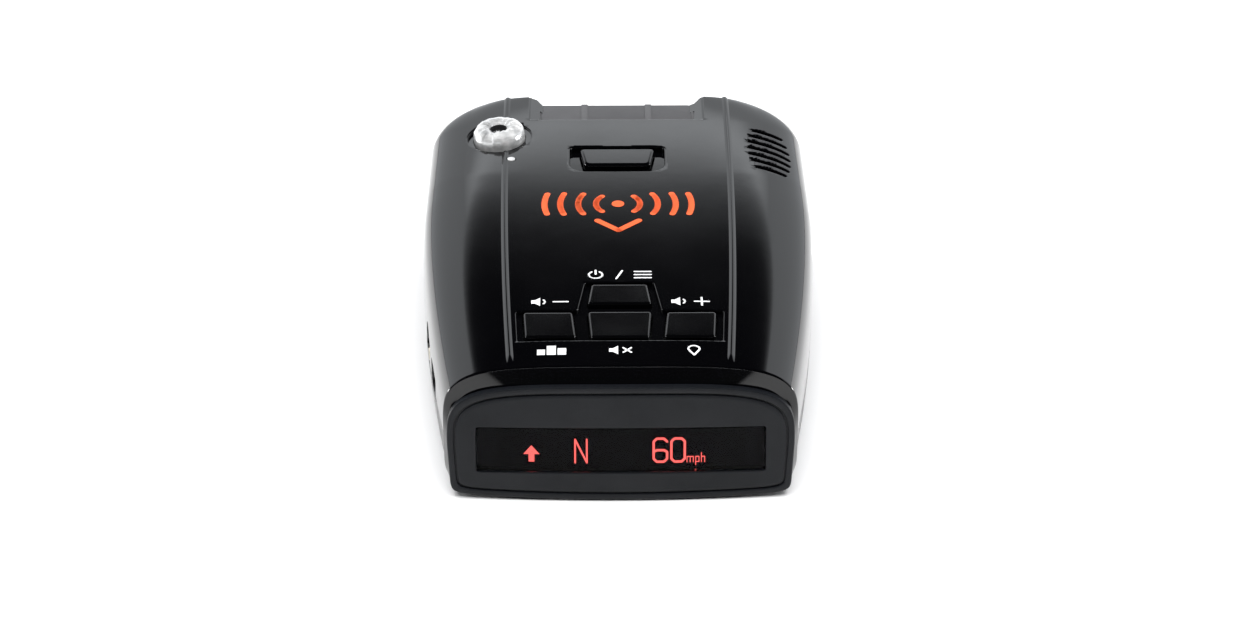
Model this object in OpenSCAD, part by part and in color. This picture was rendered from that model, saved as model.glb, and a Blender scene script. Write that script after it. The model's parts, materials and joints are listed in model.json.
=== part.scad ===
// Compact windshield radar detector, all dimensions in millimetres.
// X runs across, Y runs from the display end (negative) to the antenna end (positive), Z is up.
// The origin is the centre of the footprint, on the flat underside.

/* [Housing] */
// Overall length, display end to antenna end
body_l = 110; // [109:0.5:112]
// Overall width at the widest section
body_w = 75; // [74.5:0.5:76]
// Height of the roof where it meets the hood
roof_front_z = 23.2; // [23:0.1:24]
// Rise of the roof towards the antenna end, in degrees
roof_slope = 4.4; // [4.2:0.1:4.6]
// Wall thickness of the plastic shells
wall = 2; // [1.8:0.1:2]
// Height of the joint between the two shells
parting_z = 10; // [10:0.1:10.2]
// Corner radius of the plan outline at the antenna end
corner_r = 12; // [11:0.5:12.5]

/* [Display end] */
// Lean of the face, in degrees
face_lean = 9; // [8:0.5:10]
// Height of the face along its own slope
face_h = 20.9; // [20.5:0.1:21]
// Width of the face
face_w = 60.8; // [60.2:0.2:61]
// Radius of the face's sideways curve
face_curve_r = 350; // [300:10:500]
// Width and height of the display window
window_w = 50.6; // [50:0.2:51]
window_h = 8.2; // [8:0.1:8.4]

/* [Keys] */
// Gap round a key in its hole
key_gap = 0.25; // [0.2:0.05:0.3]

/* [Bracket] */
// Half width of the bracket notch at its floor
notch_half = 14.9; // [14.4:0.1:15]

/* [Sockets] */
// Bore radius of the audio socket, for a standard 3.5 mm plug
audio_bore_r = 1.8; // [1.8:0.05:1.9]

/* [Hidden] */

front_y = -body_l / 2;
rear_y = body_l / 2;
rear_bulge = 0.5;
seam_y = front_y + 6.7;
widest_y = 16;
front_taper = 6.4;
taper_power = 1.6;
rear_edge_r = 1.2;
corner_x = body_w / 2 - corner_r;
flat_rear_y = rear_y - rear_bulge;
corner_y = flat_rear_y - corner_r;
front_squareness = 4.3;
rear_squareness = 6.6;
squareness_run = 70;
seam_gap = 0.1;
shell_front_y = seam_y + seam_gap;

// Ridges along the roof
ridge_x_rear = 22.05;
ridge_pinch = 2.9;
ridge_half = 0.65;
ridge_top_half = 0.3;
ridge_h = 0.35;

// Stations of the shells; both lofts start ahead of the seam and are trimmed back to it
outer_lead = 5;
cavity_lead = 8;
outer_first_y = seam_y + 0.5;
cavity_first_y = seam_y + 0.6;
outer_stations = [-44, -38, -31, -24, -15, -8, 0, 8, 16, 24, 31, 37, 41.5, 45, 48, 50.4, 52, 53.2, 53.9, 54.3];
inner_stations = [-40, -30, -18, -6, 6, 18, 30, 38, 43, 47, 50, 51.6];

// Face panel and display window, up the face's own slope
face_rise = 0.26;
face_t = 1.6;
lower_corner = 0.11;
groove_in = 1.15;
groove_w = 0.35;
groove_d = 0.4;
window_low = 5.1;

// Board stack
board_z = 7.4;
board_t = 1.6;
board_top = board_z + board_t;
board_half = 28.5;
board_front_y = -44;
board_rear_y = 51;
lift = 0.1;

// Fasteners
housing_screw_at = [[-27, -39.5], [27, -39.5], [-28, 46], [28, 46]];
board_screw_at = [[-17, -41], [17, -41], [-25, 4], [25, 19]];
post_r = 3;
pilot_r = 1.15;

// Key group, measured along the roof from its own origin
keys_y = -30.2;
keys_post_at = [[-12, -11.6], [12, -11.6], [-12, 6.4], [12, 6.4]];
well_depth = 0.9;
key_proud = 0.15;
flange_top = -2.5;
flange_t = 0.8;
flange_grow = 0.7;
stem_end = -4.1;
switch_top = -5;
switch_end = -8.1;
keyboard_top = -8.2;
keyboard_t = 1;

// Corners of the key caps, near side first
mute_outline = [[-5.15, -8.7], [5.15, -8.7], [5.7, 0], [-5.7, 0]];
power_outline = [[-5.75, 2.7], [5.75, 2.7], [5.1, 9.5], [-5.1, 9.5]];
side_outline = [[7.8, -8.6], [16.8, -8.6], [17.3, -0.2], [8.45, -0.2]];
well_outline = [
    [-18.1, -9.5], [18.1, -9.5], [18.6, 0.6], [7.5, 0.6], [6.2, 10.4], [-6.2, 10.4], [-7.5, 0.6],
    [-18.6, 0.6]
];

// Stem positions of the four keys
mute_at = [0, -4.4];
power_at = [0, 6.1];
right_at = [12.6, -4.4];
left_at = [-12.6, -4.4];

// Release button and bracket socket, along the roof
release_y = 27.4;
release_outline = [[-6.4, -3.3], [6.4, -3.3], [7.35, 3.3], [-7.35, 3.3]];
release_well_depth = 1.3;
release_flange_top = -2.35;
release_block_low = -3.4;
bridge_top = -7.2;
bridge_post_x = 11.5;
notch_y = 43.75;
notch_flare = 4.25;
pocket_half = 14;
pocket_y = 34;
skin_t = 0.9;
socket_floor = 2.6;
socket_t = 1.6;
socket_wall_top = -2.35;
socket_screw_at = [[-15.2, 37], [15.2, 37], [-17.6, 48], [17.6, 48]];

// Openings and modules at the antenna end
horn_x = 3;
horn_mouth_half = 14.5;
horn_throat_half = 9;
horn_top = 19.4;
horn_throat_top = 16.6;
horn_rear_y = 51;
horn_flare_y = 32;
horn_front_y = 14.5;
radome_half = 15.4;
radome_z = 10.8;
radome_h = 9.4;
laser_window_x = -18;
laser_window_half = 3.8;

// Rear laser pickup on the left shoulder
lens_x = -23.3;
lens_y = 36.8;
lens_tilt = 5;
lens_r = 5.1;
lens_recess_r = 6.3;
lens_flange_r = 5.9;

// Ambient light pipe
pipe_x = -20.7;
pipe_y = 27.2;
pipe_r = 0.75;

// Speaker on the right shoulder
speaker_at = [25.5, 30, 22.2];
speaker_tilt = 20;
grille_x = 29.8;
grille_y = 31;
grille_pitch = 2.5;
grille_half = 4;
grille_slant = -19;
grille_slot_r = 0.5;

// Side sockets
audio_y = -18;
audio_z = 12;
data_y = -31;
data_z = 11.2;
power_y = 8;
power_z = 15;

// ---------- shell surface ----------

function clamp01(v) = max(0, min(1, v));

// Half width of the plan outline at y, drawn in by inset
function half_w(y, inset = 0) =
    y <= corner_y
        ? body_w / 2 - inset
            - front_taper * pow(max(0, widest_y - y) / (widest_y - seam_y), taper_power)
        : corner_x + sqrt(max(0, pow(corner_r - inset, 2) - pow(y - corner_y, 2)));

// Fall of the roof or floor at the rounded rear edge
function rear_fall(y, inset) =
    let (
        r = max(rear_edge_r - inset, 0.8),
        start = flat_rear_y - inset - r
    )
    y > start ? r - sqrt(max(0, r * r - pow(y - start, 2))) : 0;

// Height of the roof on the centre line
function roof(y, inset = 0) =
    roof_front_z + tan(roof_slope) * (y - seam_y) - inset - rear_fall(y, inset);

function squareness(y) =
    front_squareness
        + (rear_squareness - front_squareness) * clamp01((y - seam_y) / squareness_run);

// Height of the shell at any x
function shell_z(x, y, inset = 0) =
    let (
        n = squareness(y),
        part = min(1, abs(x) / half_w(y, inset))
    )
    parting_z + (roof(y, inset) - parting_z) * pow(1 - pow(part, n), 1 / n);

function ridge_x(y) = ridge_x_rear - ridge_pinch * pow(max(0, 52 - y) / 100, 2.2);

// The antenna end bows out by rear_bulge at its middle
function bowed(y, x) =
    y + rear_bulge * pow(clamp01((y - 40) / 14.5), 2) * max(0, 1 - pow(x / corner_x, 2));

function mirrored(half) =
    concat(half, [for (i = [len(half) - 2:-1:0]) [-half[i][0], half[i][1]]]);

// Right half of a roof section from the parting line to the centre, with the ridge
function ridged_half(y) =
    let (
        n = squareness(y),
        w = half_w(y),
        xr = ridge_x(y),
        turn = acos(pow((xr + ridge_half) / w, n / 2)),
        steps = 9
    )
    concat(
        [for (i = [0:steps]) let (x = w * pow(cos(turn * i / steps), 2 / n)) [x, shell_z(x, y)]],
        [
            [xr + ridge_top_half, shell_z(xr, y) + ridge_h],
            [xr - ridge_top_half, shell_z(xr, y) + ridge_h],
            [xr - ridge_half, shell_z(xr - ridge_half, y)],
            [xr * 0.55, shell_z(xr * 0.55, y)],
            [0, roof(y)]
        ]
    );

// Right half of the cavity's section, which has no ridge
function plain_half(y, inset) =
    let (
        n = squareness(y),
        w = half_w(y, inset),
        steps = 9
    )
    [for (i = [0:steps]) let (x = w * pow(max(0, cos(90 * i / steps)), 2 / n)) [x, shell_z(x, y, inset)]];

// Right half of a floor section, from the parting line down to the flat underside
function floor_half(y, inset) =
    let (
        w = half_w(y, inset) - 0.05,
        r = 3,
        low = inset + rear_fall(y, inset),
        side = max(low + r, parting_z - 4)
    )
    concat(
        [[w, parting_z - seam_gap], [w - 0.1, side]],
        [for (a = [0:18:90]) [w - 0.5 - r + r * cos(a), low + r - r * sin(a)]],
        [[w * 0.5, low], [0, low]]
    );

function ring_at(half, y) = [for (p = mirrored(half)) [p[0], bowed(y, p[0]), p[1]]];

function reversed(list) = [for (i = [len(list) - 1:-1:0]) list[i]];

function middle_of(ring) =
    let (n = len(ring))
    [0, (ring[0][1] + ring[floor(n / 2)][1]) / 2, (ring[0][2] + ring[floor(n / 2)][2]) / 2];

// Closed solid through rings of equal length, with fan-shaped ends
module loft(rings) {
    n = len(rings[0]);
    m = len(rings);
    points = concat([for (ring = rings) each ring], [middle_of(rings[0]), middle_of(rings[m - 1])]);
    sides = [
        for (j = [0:m - 2], i = [0:n - 1])
            let (a = j * n + i, b = j * n + (i + 1) % n)
            each [[a, b, a + n], [b, b + n, a + n]]
    ];
    first = [for (i = [0:n - 1]) [m * n, (i + 1) % n, i]];
    last = [for (i = [0:n - 1]) [m * n + 1, (m - 1) * n + i, (m - 1) * n + (i + 1) % n]];
    polyhedron(points, concat(sides, first, last));
}

// Places children on the roof, their Z along its normal
module on_roof(y, x = 0, tilt = 0) {
    translate([x, y, shell_z(x, y)])
        rotate([roof_slope, 0, 0])
            rotate([0, tilt, 0])
                children();
}

// Prism in a roof frame, from height low to height high
module prism(outline, low, high) {
    translate([0, 0, low])
        linear_extrude(high - low)
            polygon(outline);
}

// Block from one corner to the other
module block(low, high) {
    translate(low)
        cube(high - low);
}

module rod(at, r, low, high, sides = 32) {
    translate([at[0], at[1], low])
        cylinder(r = r, h = high - low, $fn = sides);
}

// Outline of four corners grown by a margin on each side
function grown(outline, by) = [
    [outline[0][0] - by, outline[0][1] - by], [outline[1][0] + by, outline[1][1] - by],
    [outline[2][0] + by, outline[2][1] + by], [outline[3][0] - by, outline[3][1] + by]
];

function flipped(outline) = [for (i = [1, 0, 3, 2]) [-outline[i][0], outline[i][1]]];

// ---------- housings ----------

module grille_slots() {
    for (i = [-3:3]) {
        reach = grille_half * sqrt(1 - pow(i / 4.2, 2));
        translate([grille_x, grille_y + grille_pitch * i, 15])
            rotate([0, 0, grille_slant])
                hull()
                    for (end = [-reach, reach])
                        translate([end, 0, 0])
                            cylinder(r = grille_slot_r, h = 20, $fn = 12);
    }
}

// Cut for the release button's well, with larger corners on its near side
module release_well(low, high) {
    hull()
        for (side = [-1, 1]) {
            rod([side * 6.2, -2.1], 3, low, high, 24);
            rod([side * 8.4, 3.9], 0.8, low, high, 16);
        }
}

module bracket_notch() {
    low = socket_floor + socket_t + lift;
    on_roof(notch_y)
        rotate([-90, 0, 0])
            linear_extrude(20)
                polygon([
                    [-notch_half, low], [-notch_half, socket_floor],
                    [-notch_half - notch_flare, -2], [notch_half + notch_flare, -2],
                    [notch_half, socket_floor], [notch_half, low]
                ]);
    on_roof(pocket_y)
        block([-pocket_half, 0, -wall - 1], [pocket_half, 20, -skin_t]);
}

// Trims the shells flat where the bezel frame meets them
module front_cut() {
    block([-body_w, seam_y - 20, -5], [body_w, shell_front_y, 60]);
}

module side_openings() {
    translate([-body_w / 2 - 1, audio_y, audio_z])
        rotate([0, 90, 0])
            cylinder(r = 3.6, h = 8, $fn = 32);
    block([-body_w / 2 - 1, data_y - 4.3, data_z - 2.4], [-body_w / 2 + 8, data_y + 4.3, data_z + 2.4]);
    block([body_w / 2 - 7, power_y - 6.8, power_z - 6], [body_w / 2 + 1, power_y + 6.8, power_z + 5.9]);
}

module antenna_end_openings() {
    block([horn_x - radome_half - lift, 50, radome_z - lift],
        [horn_x + radome_half + lift, rear_y + 1, radome_z + radome_h + lift]);
    block([laser_window_x - laser_window_half - lift, 50, radome_z - lift],
        [laser_window_x + laser_window_half + lift, rear_y + 1, radome_z + radome_h + lift]);
}

// Height at which a housing post ends inside the roof's thickness
function post_top(at) =
    min([for (dx = [-1, 1], dy = [-1, 1]) shell_z(at[0] + dx * post_r, at[1] + dy * post_r)]) - 0.5;

module roof_posts() {
    for (at = housing_screw_at)
        rod(at, post_r, parting_z + seam_gap, post_top(at), 24);
    on_roof(keys_y)
        for (at = keys_post_at)
            rod(at, 1.9, keyboard_top + lift, -1, 20);
    on_roof(release_y)
        for (side = [-1, 1])
            rod([side * bridge_post_x, 0], 2, bridge_top + lift, -1, 20);
}

module roof_holes() {
    for (at = housing_screw_at)
        rod(at, pilot_r, parting_z - 1, parting_z + 9, 16);
    on_roof(keys_y)
        for (at = keys_post_at)
            rod(at, 0.85, keyboard_top - 1, keyboard_top + 4, 16);
    on_roof(release_y)
        for (side = [-1, 1])
            rod([side * bridge_post_x, 0], 0.85, bridge_top - 1, bridge_top + 4, 16);
    for (at = socket_screw_at)
        on_roof(at[1])
            rod([at[0], 0], 0.85, -4, -0.8, 16);
}

module key_holes() {
    on_roof(keys_y) {
        prism(well_outline, -well_depth, 3);
        prism(grown(mute_outline, key_gap), -6, 3);
        prism(grown(power_outline, key_gap), -6, 3);
        prism(grown(side_outline, key_gap), -6, 3);
        prism(grown(flipped(side_outline), key_gap), -6, 3);
    }
}

module top_housing() {
    stations = concat([seam_y - outer_lead, outer_first_y], outer_stations, [flat_rear_y]);
    cavity = concat([seam_y - cavity_lead, cavity_first_y], inner_stations, [flat_rear_y - wall]);
    color([0.03, 0.03, 0.035])
        difference() {
            union() {
                difference() {
                    loft([for (y = stations) ring_at(ridged_half(max(y, outer_first_y)), y)]);
                    loft([for (y = cavity) [
                        for (p = ring_at(plain_half(max(y, cavity_first_y), wall), y))
                            [p[0], p[1], p[2] <= parting_z ? parting_z - 2 : p[2]]
                    ]]);
                }
                roof_posts();
            }
            front_cut();
            key_holes();
            on_roof(release_y) {
                release_well(-release_well_depth, 3);
                prism(grown(release_outline, key_gap), -6, 3);
            }
            bracket_notch();
            grille_slots();
            on_roof(lens_y, lens_x, -lens_tilt) {
                rod([0, 0], lens_recess_r, -0.7, 4, 40);
                rod([0, 0], lens_r + 0.15, -6, 4, 40);
                rod([0, 0], lens_flange_r + 0.2, -6, -2.05, 40);
            }
            on_roof(pipe_y, pipe_x)
                rod([0, 0], pipe_r + 0.1, -6, 2, 16);
            side_openings();
            antenna_end_openings();
            roof_holes();
        }
}

module bottom_housing() {
    stations = concat([seam_y - outer_lead, outer_first_y], outer_stations, [flat_rear_y]);
    cavity = concat([seam_y - cavity_lead, cavity_first_y], inner_stations, [flat_rear_y - wall]);
    color([0.04, 0.04, 0.045])
        difference() {
            union() {
                difference() {
                    loft([for (y = stations) reversed(ring_at(floor_half(max(y, outer_first_y), 0), y))]);
                    loft([for (y = cavity) reversed([
                        for (p = ring_at(floor_half(max(y, cavity_first_y), wall), y))
                            [p[0], p[1], p[2] > parting_z - 1 ? parting_z + 2 : p[2]]
                    ])]);
                }
                for (at = housing_screw_at)
                    rod(at, post_r, 1, parting_z - seam_gap, 24);
                for (at = board_screw_at)
                    rod(at, 2.4, 1, board_z - lift, 20);
            }
            for (at = housing_screw_at) {
                rod(at, 1.3, -1, parting_z + 1, 16);
                rod(at, 2.3, -1, 3.6, 24);
            }
            for (at = board_screw_at)
                rod(at, 0.95, 3, parting_z, 16);
            front_cut();
            side_openings();
            label_recess();
            for (side = [-1, 1], row = [0:2])
                hull()
                    for (end = [-6, 6])
                        rod([side * 14 + end, 30 + 4 * row], 0.7, -1, 4, 12);
            for (side = [-1, 1])
                hull()
                    for (end = [-3, 3])
                        rod([side * 22 + end, -30], 0.7, -1, 0.5, 12);
        }
}

module label_recess() {
    block([-20, -18, -1], [20, 14, 0.35]);
}

module rating_label() {
    color("silver")
        block([-19.6, -17.6, 0.12], [19.6, 13.6, 0.32]);
}

// ---------- display end ----------

// Face outline in its own plane, drawn in by inset: x across, second value up the slope
function face_outline(inset = 0, count = 64) = [
    for (i = [0:count - 1])
        let (
            a = 360 * i / count,
            half = face_w / 2 - inset,
            middle = parting_z,
            x = half * sign(cos(a)) * pow(abs(cos(a)), sin(a) >= 0 ? 0.5 : lower_corner),
            up = sin(a) >= 0
                ? middle + (face_h - middle - inset) * pow(sin(a), 0.5)
                : middle - (middle - inset) * pow(-sin(a), lower_corner)
        )
        [x * (up < middle ? 1 - 0.002 * (middle - up) : 1), up + (up < middle ? 0.8 * pow(x / 29, 2) * (middle - up) / middle : 0)]
];

module on_face() {
    translate([0, front_y, face_rise])
        rotate([-face_lean, 0, 0])
            children();
}

// Slice of a face-plane outline between two depths behind the curved face
module face_slice(outline, near, far) {
    intersection() {
        translate([0, 20, 0])
            rotate([90, 0, 0])
                linear_extrude(40)
                    polygon(outline);
        translate([0, face_curve_r, -5])
            difference() {
                cylinder(r = face_curve_r - near, h = 40, $fn = 400);
                translate([0, 0, -1])
                    cylinder(r = face_curve_r - far, h = 42, $fn = 400);
            }
    }
}

function window_outline(grow = 0) =
    [
        for (corner = [[1, 1, 0], [-1, 1, 90], [-1, -1, 180], [1, -1, 270]], a = [0:30:90])
            [
                corner[0] * (window_w / 2 - 0.5) + (0.5 + grow) * cos(corner[2] + a),
                window_low + window_h / 2 + corner[1] * (window_h / 2 - 0.5)
                    + (0.5 + grow) * sin(corner[2] + a)
            ]
    ];

module face_panel() {
    color([0.15, 0.155, 0.165])
        on_face()
            difference() {
                face_slice(face_outline(), 0, face_t);
                face_slice(window_outline(), -2, face_t + 2);
                difference() {
                    face_slice(face_outline(groove_in), -2, groove_d);
                    face_slice(face_outline(groove_in + groove_w), -3, groove_d + 1);
                }
            }
}

module display_window() {
    color([0.05, 0.05, 0.06])
        on_face()
            face_slice(window_outline(-0.08), 0.25, face_t - 0.1);
}

module window_gasket() {
    color([0.1, 0.1, 0.1])
        on_face()
            difference() {
                block([-window_w / 2 - 2, 2.75, window_low - 1.2], [window_w / 2 + 2, 3.25, window_low + window_h + 1.6]);
                block([-window_w / 2 + 0.4, 2, window_low + 0.2], [window_w / 2 - 0.4, 4, window_low + window_h - 0.2]);
            }
}

module display_panel() {
    color([0.08, 0.08, 0.1])
        on_face()
            block([-27, 3.3, window_low - 1.2], [27, 4.9, window_low + window_h + 2]);
}

module display_board() {
    color([0.06, 0.25, 0.12])
        on_face() {
            block([-27, 5, 4.1], [27, 6, 17]);
            block([-7, 6, 11], [7, 7.2, 14]);
        }
}

// Flat cable of the display, an arc and a straight run in the Y-Z plane
module display_ribbon() {
    color([0.85, 0.8, 0.6])
        translate([-6, 0, 0])
            rotate([90, 0, 90])
                linear_extrude(12)
                    union() {
                        translate([-45.6, 13.4])
                            square([1.6, 0.3]);
                        translate([-44, 11.7])
                            intersection() {
                                difference() {
                                    circle(r = 2, $fn = 48);
                                    circle(r = 1.7, $fn = 48);
                                }
                                square(3);
                            }
                        translate([-42.3, 10.7])
                            square([0.3, 1]);
                    }
}

// Ring of the display end: full body section at the seam, face outline at the front
function seam_outline(inset, count = 64) = [
    for (i = [0:count - 1])
        let (
            a = 360 * i / count,
            n = sin(a) >= 0 ? squareness(seam_y) : 7,
            half = half_w(seam_y, inset),
            x = half * sign(cos(a)) * pow(abs(cos(a)), 2 / n),
            z = sin(a) >= 0
                ? parting_z + (roof(seam_y, inset) - parting_z) * pow(sin(a), 2 / n)
                : max(inset, parting_z - (parting_z - inset + 0.4) * pow(-sin(a), 2 / n))
        )
        [x, z]
];

// Point of the face plane at depth behind the curved face, in part coordinates
function face_point(p, depth) =
    let (d = depth + p[0] * p[0] / (2 * face_curve_r))
    [
        p[0],
        front_y + p[1] * sin(face_lean) + d * cos(face_lean),
        face_rise + p[1] * cos(face_lean) - d * sin(face_lean)
    ];

// Closed ring-shaped solid through loops of equal length, the last joined to the first
module ring_solid(loops) {
    n = len(loops[0]);
    m = len(loops);
    faces = [
        for (j = [0:m - 1], i = [0:n - 1])
            let (
                a = j * n + i,
                b = j * n + (i + 1) % n,
                c = ((j + 1) % m) * n + i,
                d = ((j + 1) % m) * n + (i + 1) % n
            )
            each [[a, b, c], [b, d, c]]
    ];
    polyhedron([for (loop = loops) each loop], faces);
}

module bezel_frame() {
    front_depth = face_t + 0.05;
    color([0.02, 0.02, 0.025])
        ring_solid([
            [for (p = face_outline(0)) face_point(p, front_depth)],
            [for (p = seam_outline(0)) [p[0], seam_y, p[1]]],
            [for (p = seam_outline(wall)) [p[0], seam_y, p[1]]],
            [for (p = face_outline(wall)) face_point(p, front_depth)]
        ]);
}

// ---------- boards ----------

module main_board() {
    color([0.05, 0.28, 0.14])
        difference() {
            block([-board_half, board_front_y, board_z], [board_half, board_rear_y, board_top]);
            for (at = housing_screw_at)
                rod(at, post_r + 0.6, 0, 20);
            for (at = board_screw_at)
                rod(at, 1.1, 0, 20, 24);
        }
}

module ribbon_sockets() {
    color([0.9, 0.88, 0.8]) {
        block([-7.5, -43.2, board_top + lift], [7.5, -41.2, 10.6]);
        block([-6, -20.4, board_top + lift], [6, -18, 10.6]);
    }
}

module processor_chips() {
    color([0.08, 0.08, 0.08]) {
        block([2, -37, board_top + lift], [14, -25, 10.3]);
        block([-16, -16, board_top + lift], [-10, -8, 10.1]);
        block([-5, -36, board_top + lift], [0, -28, 10.1]);
    }
}

module crystal_cans() {
    color("silver") {
        block([16.5, -36, board_top + lift], [19.7, -34.5, 9.9]);
        block([16.5, -31, board_top + lift], [21, -29, 10.2]);
    }
}

module shield_can() {
    color("silver")
        difference() {
            block([-20, -37, board_top + lift], [-7, -23, 12.4]);
            block([-19.7, -36.7, board_top], [-7.3, -23.3, 12.1]);
            for (i = [0:3], j = [0:3])
                rod([-17.9 + i * 2.9, -34.4 + j * 2.9], 0.5, 12, 13, 16);
        }
}

module power_inductor() {
    color([0.2, 0.2, 0.22])
        difference() {
            block([12, 2, board_top + lift], [19, 9, 12.8]);
            rod([15.5, 5.5], 2.6, 12.3, 14);
        }
}

module capacitors() {
    color([0.75, 0.77, 0.8])
        for (at = [[-20, -8], [-20, 14], [23.5, -10]])
            rod(at, 2.4, board_top + lift, 14.4);
}

module gps_antenna() {
    color([0.82, 0.76, 0.62])
        block([-12.5, -7, board_top + lift], [5.5, 11, 13.1]);
}

module gps_electrode() {
    color([0.85, 0.85, 0.88]) {
        block([-10.5, -5, 13.2], [3.5, 9, 13.35]);
        rod([-3.5, 0], 0.9, 13.35, 13.8, 24);
    }
}

module microwave_horn() {
    mouth = horn_mouth_half;
    throat = horn_throat_half;
    color([0.72, 0.73, 0.74])
        translate([horn_x, 0, 0])
            difference() {
                union() {
                    block([-throat, horn_front_y, board_top + lift], [throat, horn_flare_y, horn_throat_top]);
                    translate([0, 0, board_top + lift])
                        linear_extrude(horn_top - board_top - lift)
                            polygon([[-throat, horn_flare_y], [throat, horn_flare_y], [mouth, horn_rear_y], [-mouth, horn_rear_y]]);
                }
                translate([0, 0, board_top + 1.4])
                    linear_extrude(horn_top - board_top - 2.8)
                        polygon([[-5.3, 26], [5.3, 26], [5.3, horn_flare_y], [mouth - 1.4, horn_rear_y + 1], [1.4 - mouth, horn_rear_y + 1], [-5.3, horn_flare_y]]);
                for (side = [-1, 1], y = [17, 29.5])
                    rod([side * 7.4, y], 0.85, 12, 18, 20);
            }
}

module horn_board() {
    color([0.1, 0.3, 0.2])
        translate([horn_x, 0, 0])
            difference() {
                block([-9, horn_front_y, horn_throat_top + lift], [9, 31.8, 17.4]);
                for (side = [-1, 1], y = [17, 29.5])
                    rod([side * 7.4, y], 0.9, 16, 18, 20);
            }
}

module horn_cover() {
    color([0.8, 0.8, 0.82])
        translate([horn_x, 0, 0])
            difference() {
                block([-5.9, 15, 17.5], [5.9, 31.5, 18.9]);
                block([-5.6, 15.3, 17.4], [5.6, 31.2, 18.6]);
                rod([0, 21], 1.6, 18, 20);
            }
}

// One pan-head screw, its head's underside at z = 0 and its shank below
module screw(shank_r, shank_l, head_r, head_h) {
    translate([0, 0, -shank_l])
        cylinder(r = shank_r, h = shank_l, $fn = 20);
    difference() {
        cylinder(r = head_r, h = head_h, $fn = 24);
        for (turn = [0, 90])
            rotate([0, 0, turn])
                translate([-head_r * 0.6, -0.15, head_h - 0.35])
                    cube([head_r * 1.2, 0.3, 1]);
    }
}

module horn_screws() {
    color("silver")
        for (side = [-1, 1], y = [17, 29.5])
            translate([horn_x + side * 7.4, y, 17.45])
                screw(0.8, 4, 1.4, 0.8);
}

module antenna_window() {
    color([0.05, 0.05, 0.055])
        translate([horn_x, 0, 0]) {
            block([-radome_half, 53.2, radome_z], [radome_half, 54.4, radome_z + radome_h]);
            block([-radome_half + 1.5, 52.4, radome_z + 1], [radome_half - 1.5, 53.2, radome_z + radome_h - 1]);
        }
}

module front_laser_lens() {
    color([0.12, 0.02, 0.03])
        translate([laser_window_x, 0, 0])
            difference() {
                block([-laser_window_half, 52.6, radome_z], [laser_window_half, 54.4, radome_z + radome_h]);
                translate([0, 52.4, radome_z + radome_h / 2])
                    rotate([90, 0, 0])
                        rotate_extrude($fn = 48)
                            polygon([[0, -1], [2.6, -1], [2.6, 0], [0, 0]]);
            }
}

module front_laser_sensor() {
    color([0.06, 0.06, 0.07])
        translate([laser_window_x, 0, 0]) {
            block([-3.4, 46.6, board_top + lift], [3.4, 48.6, 18.6]);
            translate([0, 48.6, radome_z + radome_h / 2])
                rotate([-90, 0, 0])
                    cylinder(r = 2.2, h = 2.4, $fn = 32);
        }
}

// ---------- rear laser pickup and light pipe ----------

module rear_laser_lens() {
    color([0.85, 0.87, 0.9])
        on_roof(lens_y, lens_x, -lens_tilt)
            rotate_extrude($fn = 72)
                polygon([
                    [0, -2.9], [lens_flange_r, -2.9], [lens_flange_r, -2.15], [lens_r, -2.15], [lens_r, 0.7], [4.7, 1.6],
                    [4, 2.15], [3.1, 2.4], [2.2, 2.2], [1.3, 1.3], [0, 0.4]
                ]);
}

module lens_clip() {
    color([0.1, 0.1, 0.1])
        on_roof(lens_y, lens_x, -lens_tilt)
            difference() {
                rod([0, 0], lens_flange_r, -5.5, -3, 48);
                rod([0, 0], 4.2, -6, -2, 48);
            }
}

module rear_laser_sensor() {
    color([0.05, 0.25, 0.12])
        on_roof(lens_y, lens_x, -lens_tilt) {
            block([-4.6, -4.6, -6.4], [4.6, 4.6, -5.6]);
            rod([0, 0], 1.7, -5.6, -3.8);
        }
}

module light_pipe() {
    color([0.9, 0.92, 0.95])
        on_roof(pipe_y, pipe_x)
            rod([0, 0], pipe_r, -18, 0.12, 24);
}

module light_sensor() {
    color([0.2, 0.2, 0.2])
        block([pipe_x - 0.4, pipe_y + 0.4, board_top + lift], [pipe_x + 2, pipe_y + 2.6, 9.9]);
}

// ---------- keys ----------

// Key cap with its retaining flange and its stem
module key_solid(outline, at) {
    on_roof(keys_y) {
        prism(outline, flange_top, key_proud);
        prism(grown(outline, flange_grow), flange_top - flange_t, flange_top);
        rod(at, 1.4, stem_end, flange_top - flange_t);
    }
}

module plunger_solid(at) {
    on_roof(keys_y)
        rod(at, 1.25, stem_end - 1.6, stem_end);
}

module power_key() {
    color([0.02, 0.02, 0.02])
        key_solid(power_outline, power_at);
}

module mute_key() {
    color([0.02, 0.02, 0.02])
        key_solid(mute_outline, mute_at);
}

module volume_up_key() {
    color([0.02, 0.02, 0.02])
        key_solid(side_outline, right_at);
}

module volume_down_key() {
    color([0.02, 0.02, 0.02])
        key_solid(flipped(side_outline), left_at);
}

module power_plunger() {
    color([0.85, 0.85, 0.8])
        plunger_solid(power_at);
}

module mute_plunger() {
    color([0.85, 0.85, 0.8])
        plunger_solid(mute_at);
}

module volume_up_plunger() {
    color([0.85, 0.85, 0.8])
        plunger_solid(right_at);
}

module volume_down_plunger() {
    color([0.85, 0.85, 0.8])
        plunger_solid(left_at);
}

module key_switches() {
    color([0.15, 0.15, 0.15])
        on_roof(keys_y)
            for (at = [power_at, mute_at, right_at, left_at])
                difference() {
                    translate([at[0], at[1], 0])
                        block([-3, -3, switch_end], [3, 3, switch_top]);
                    rod(at, 1.3, stem_end - 2.6, 0);
                }
}

module key_board() {
    color([0.05, 0.28, 0.14])
        on_roof(keys_y)
            difference() {
                block([-19.4, -13.4, keyboard_top - keyboard_t], [19.4, 10.4, keyboard_top]);
                for (at = keys_post_at)
                    rod(at, 0.95, -12, 0, 20);
            }
}

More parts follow.
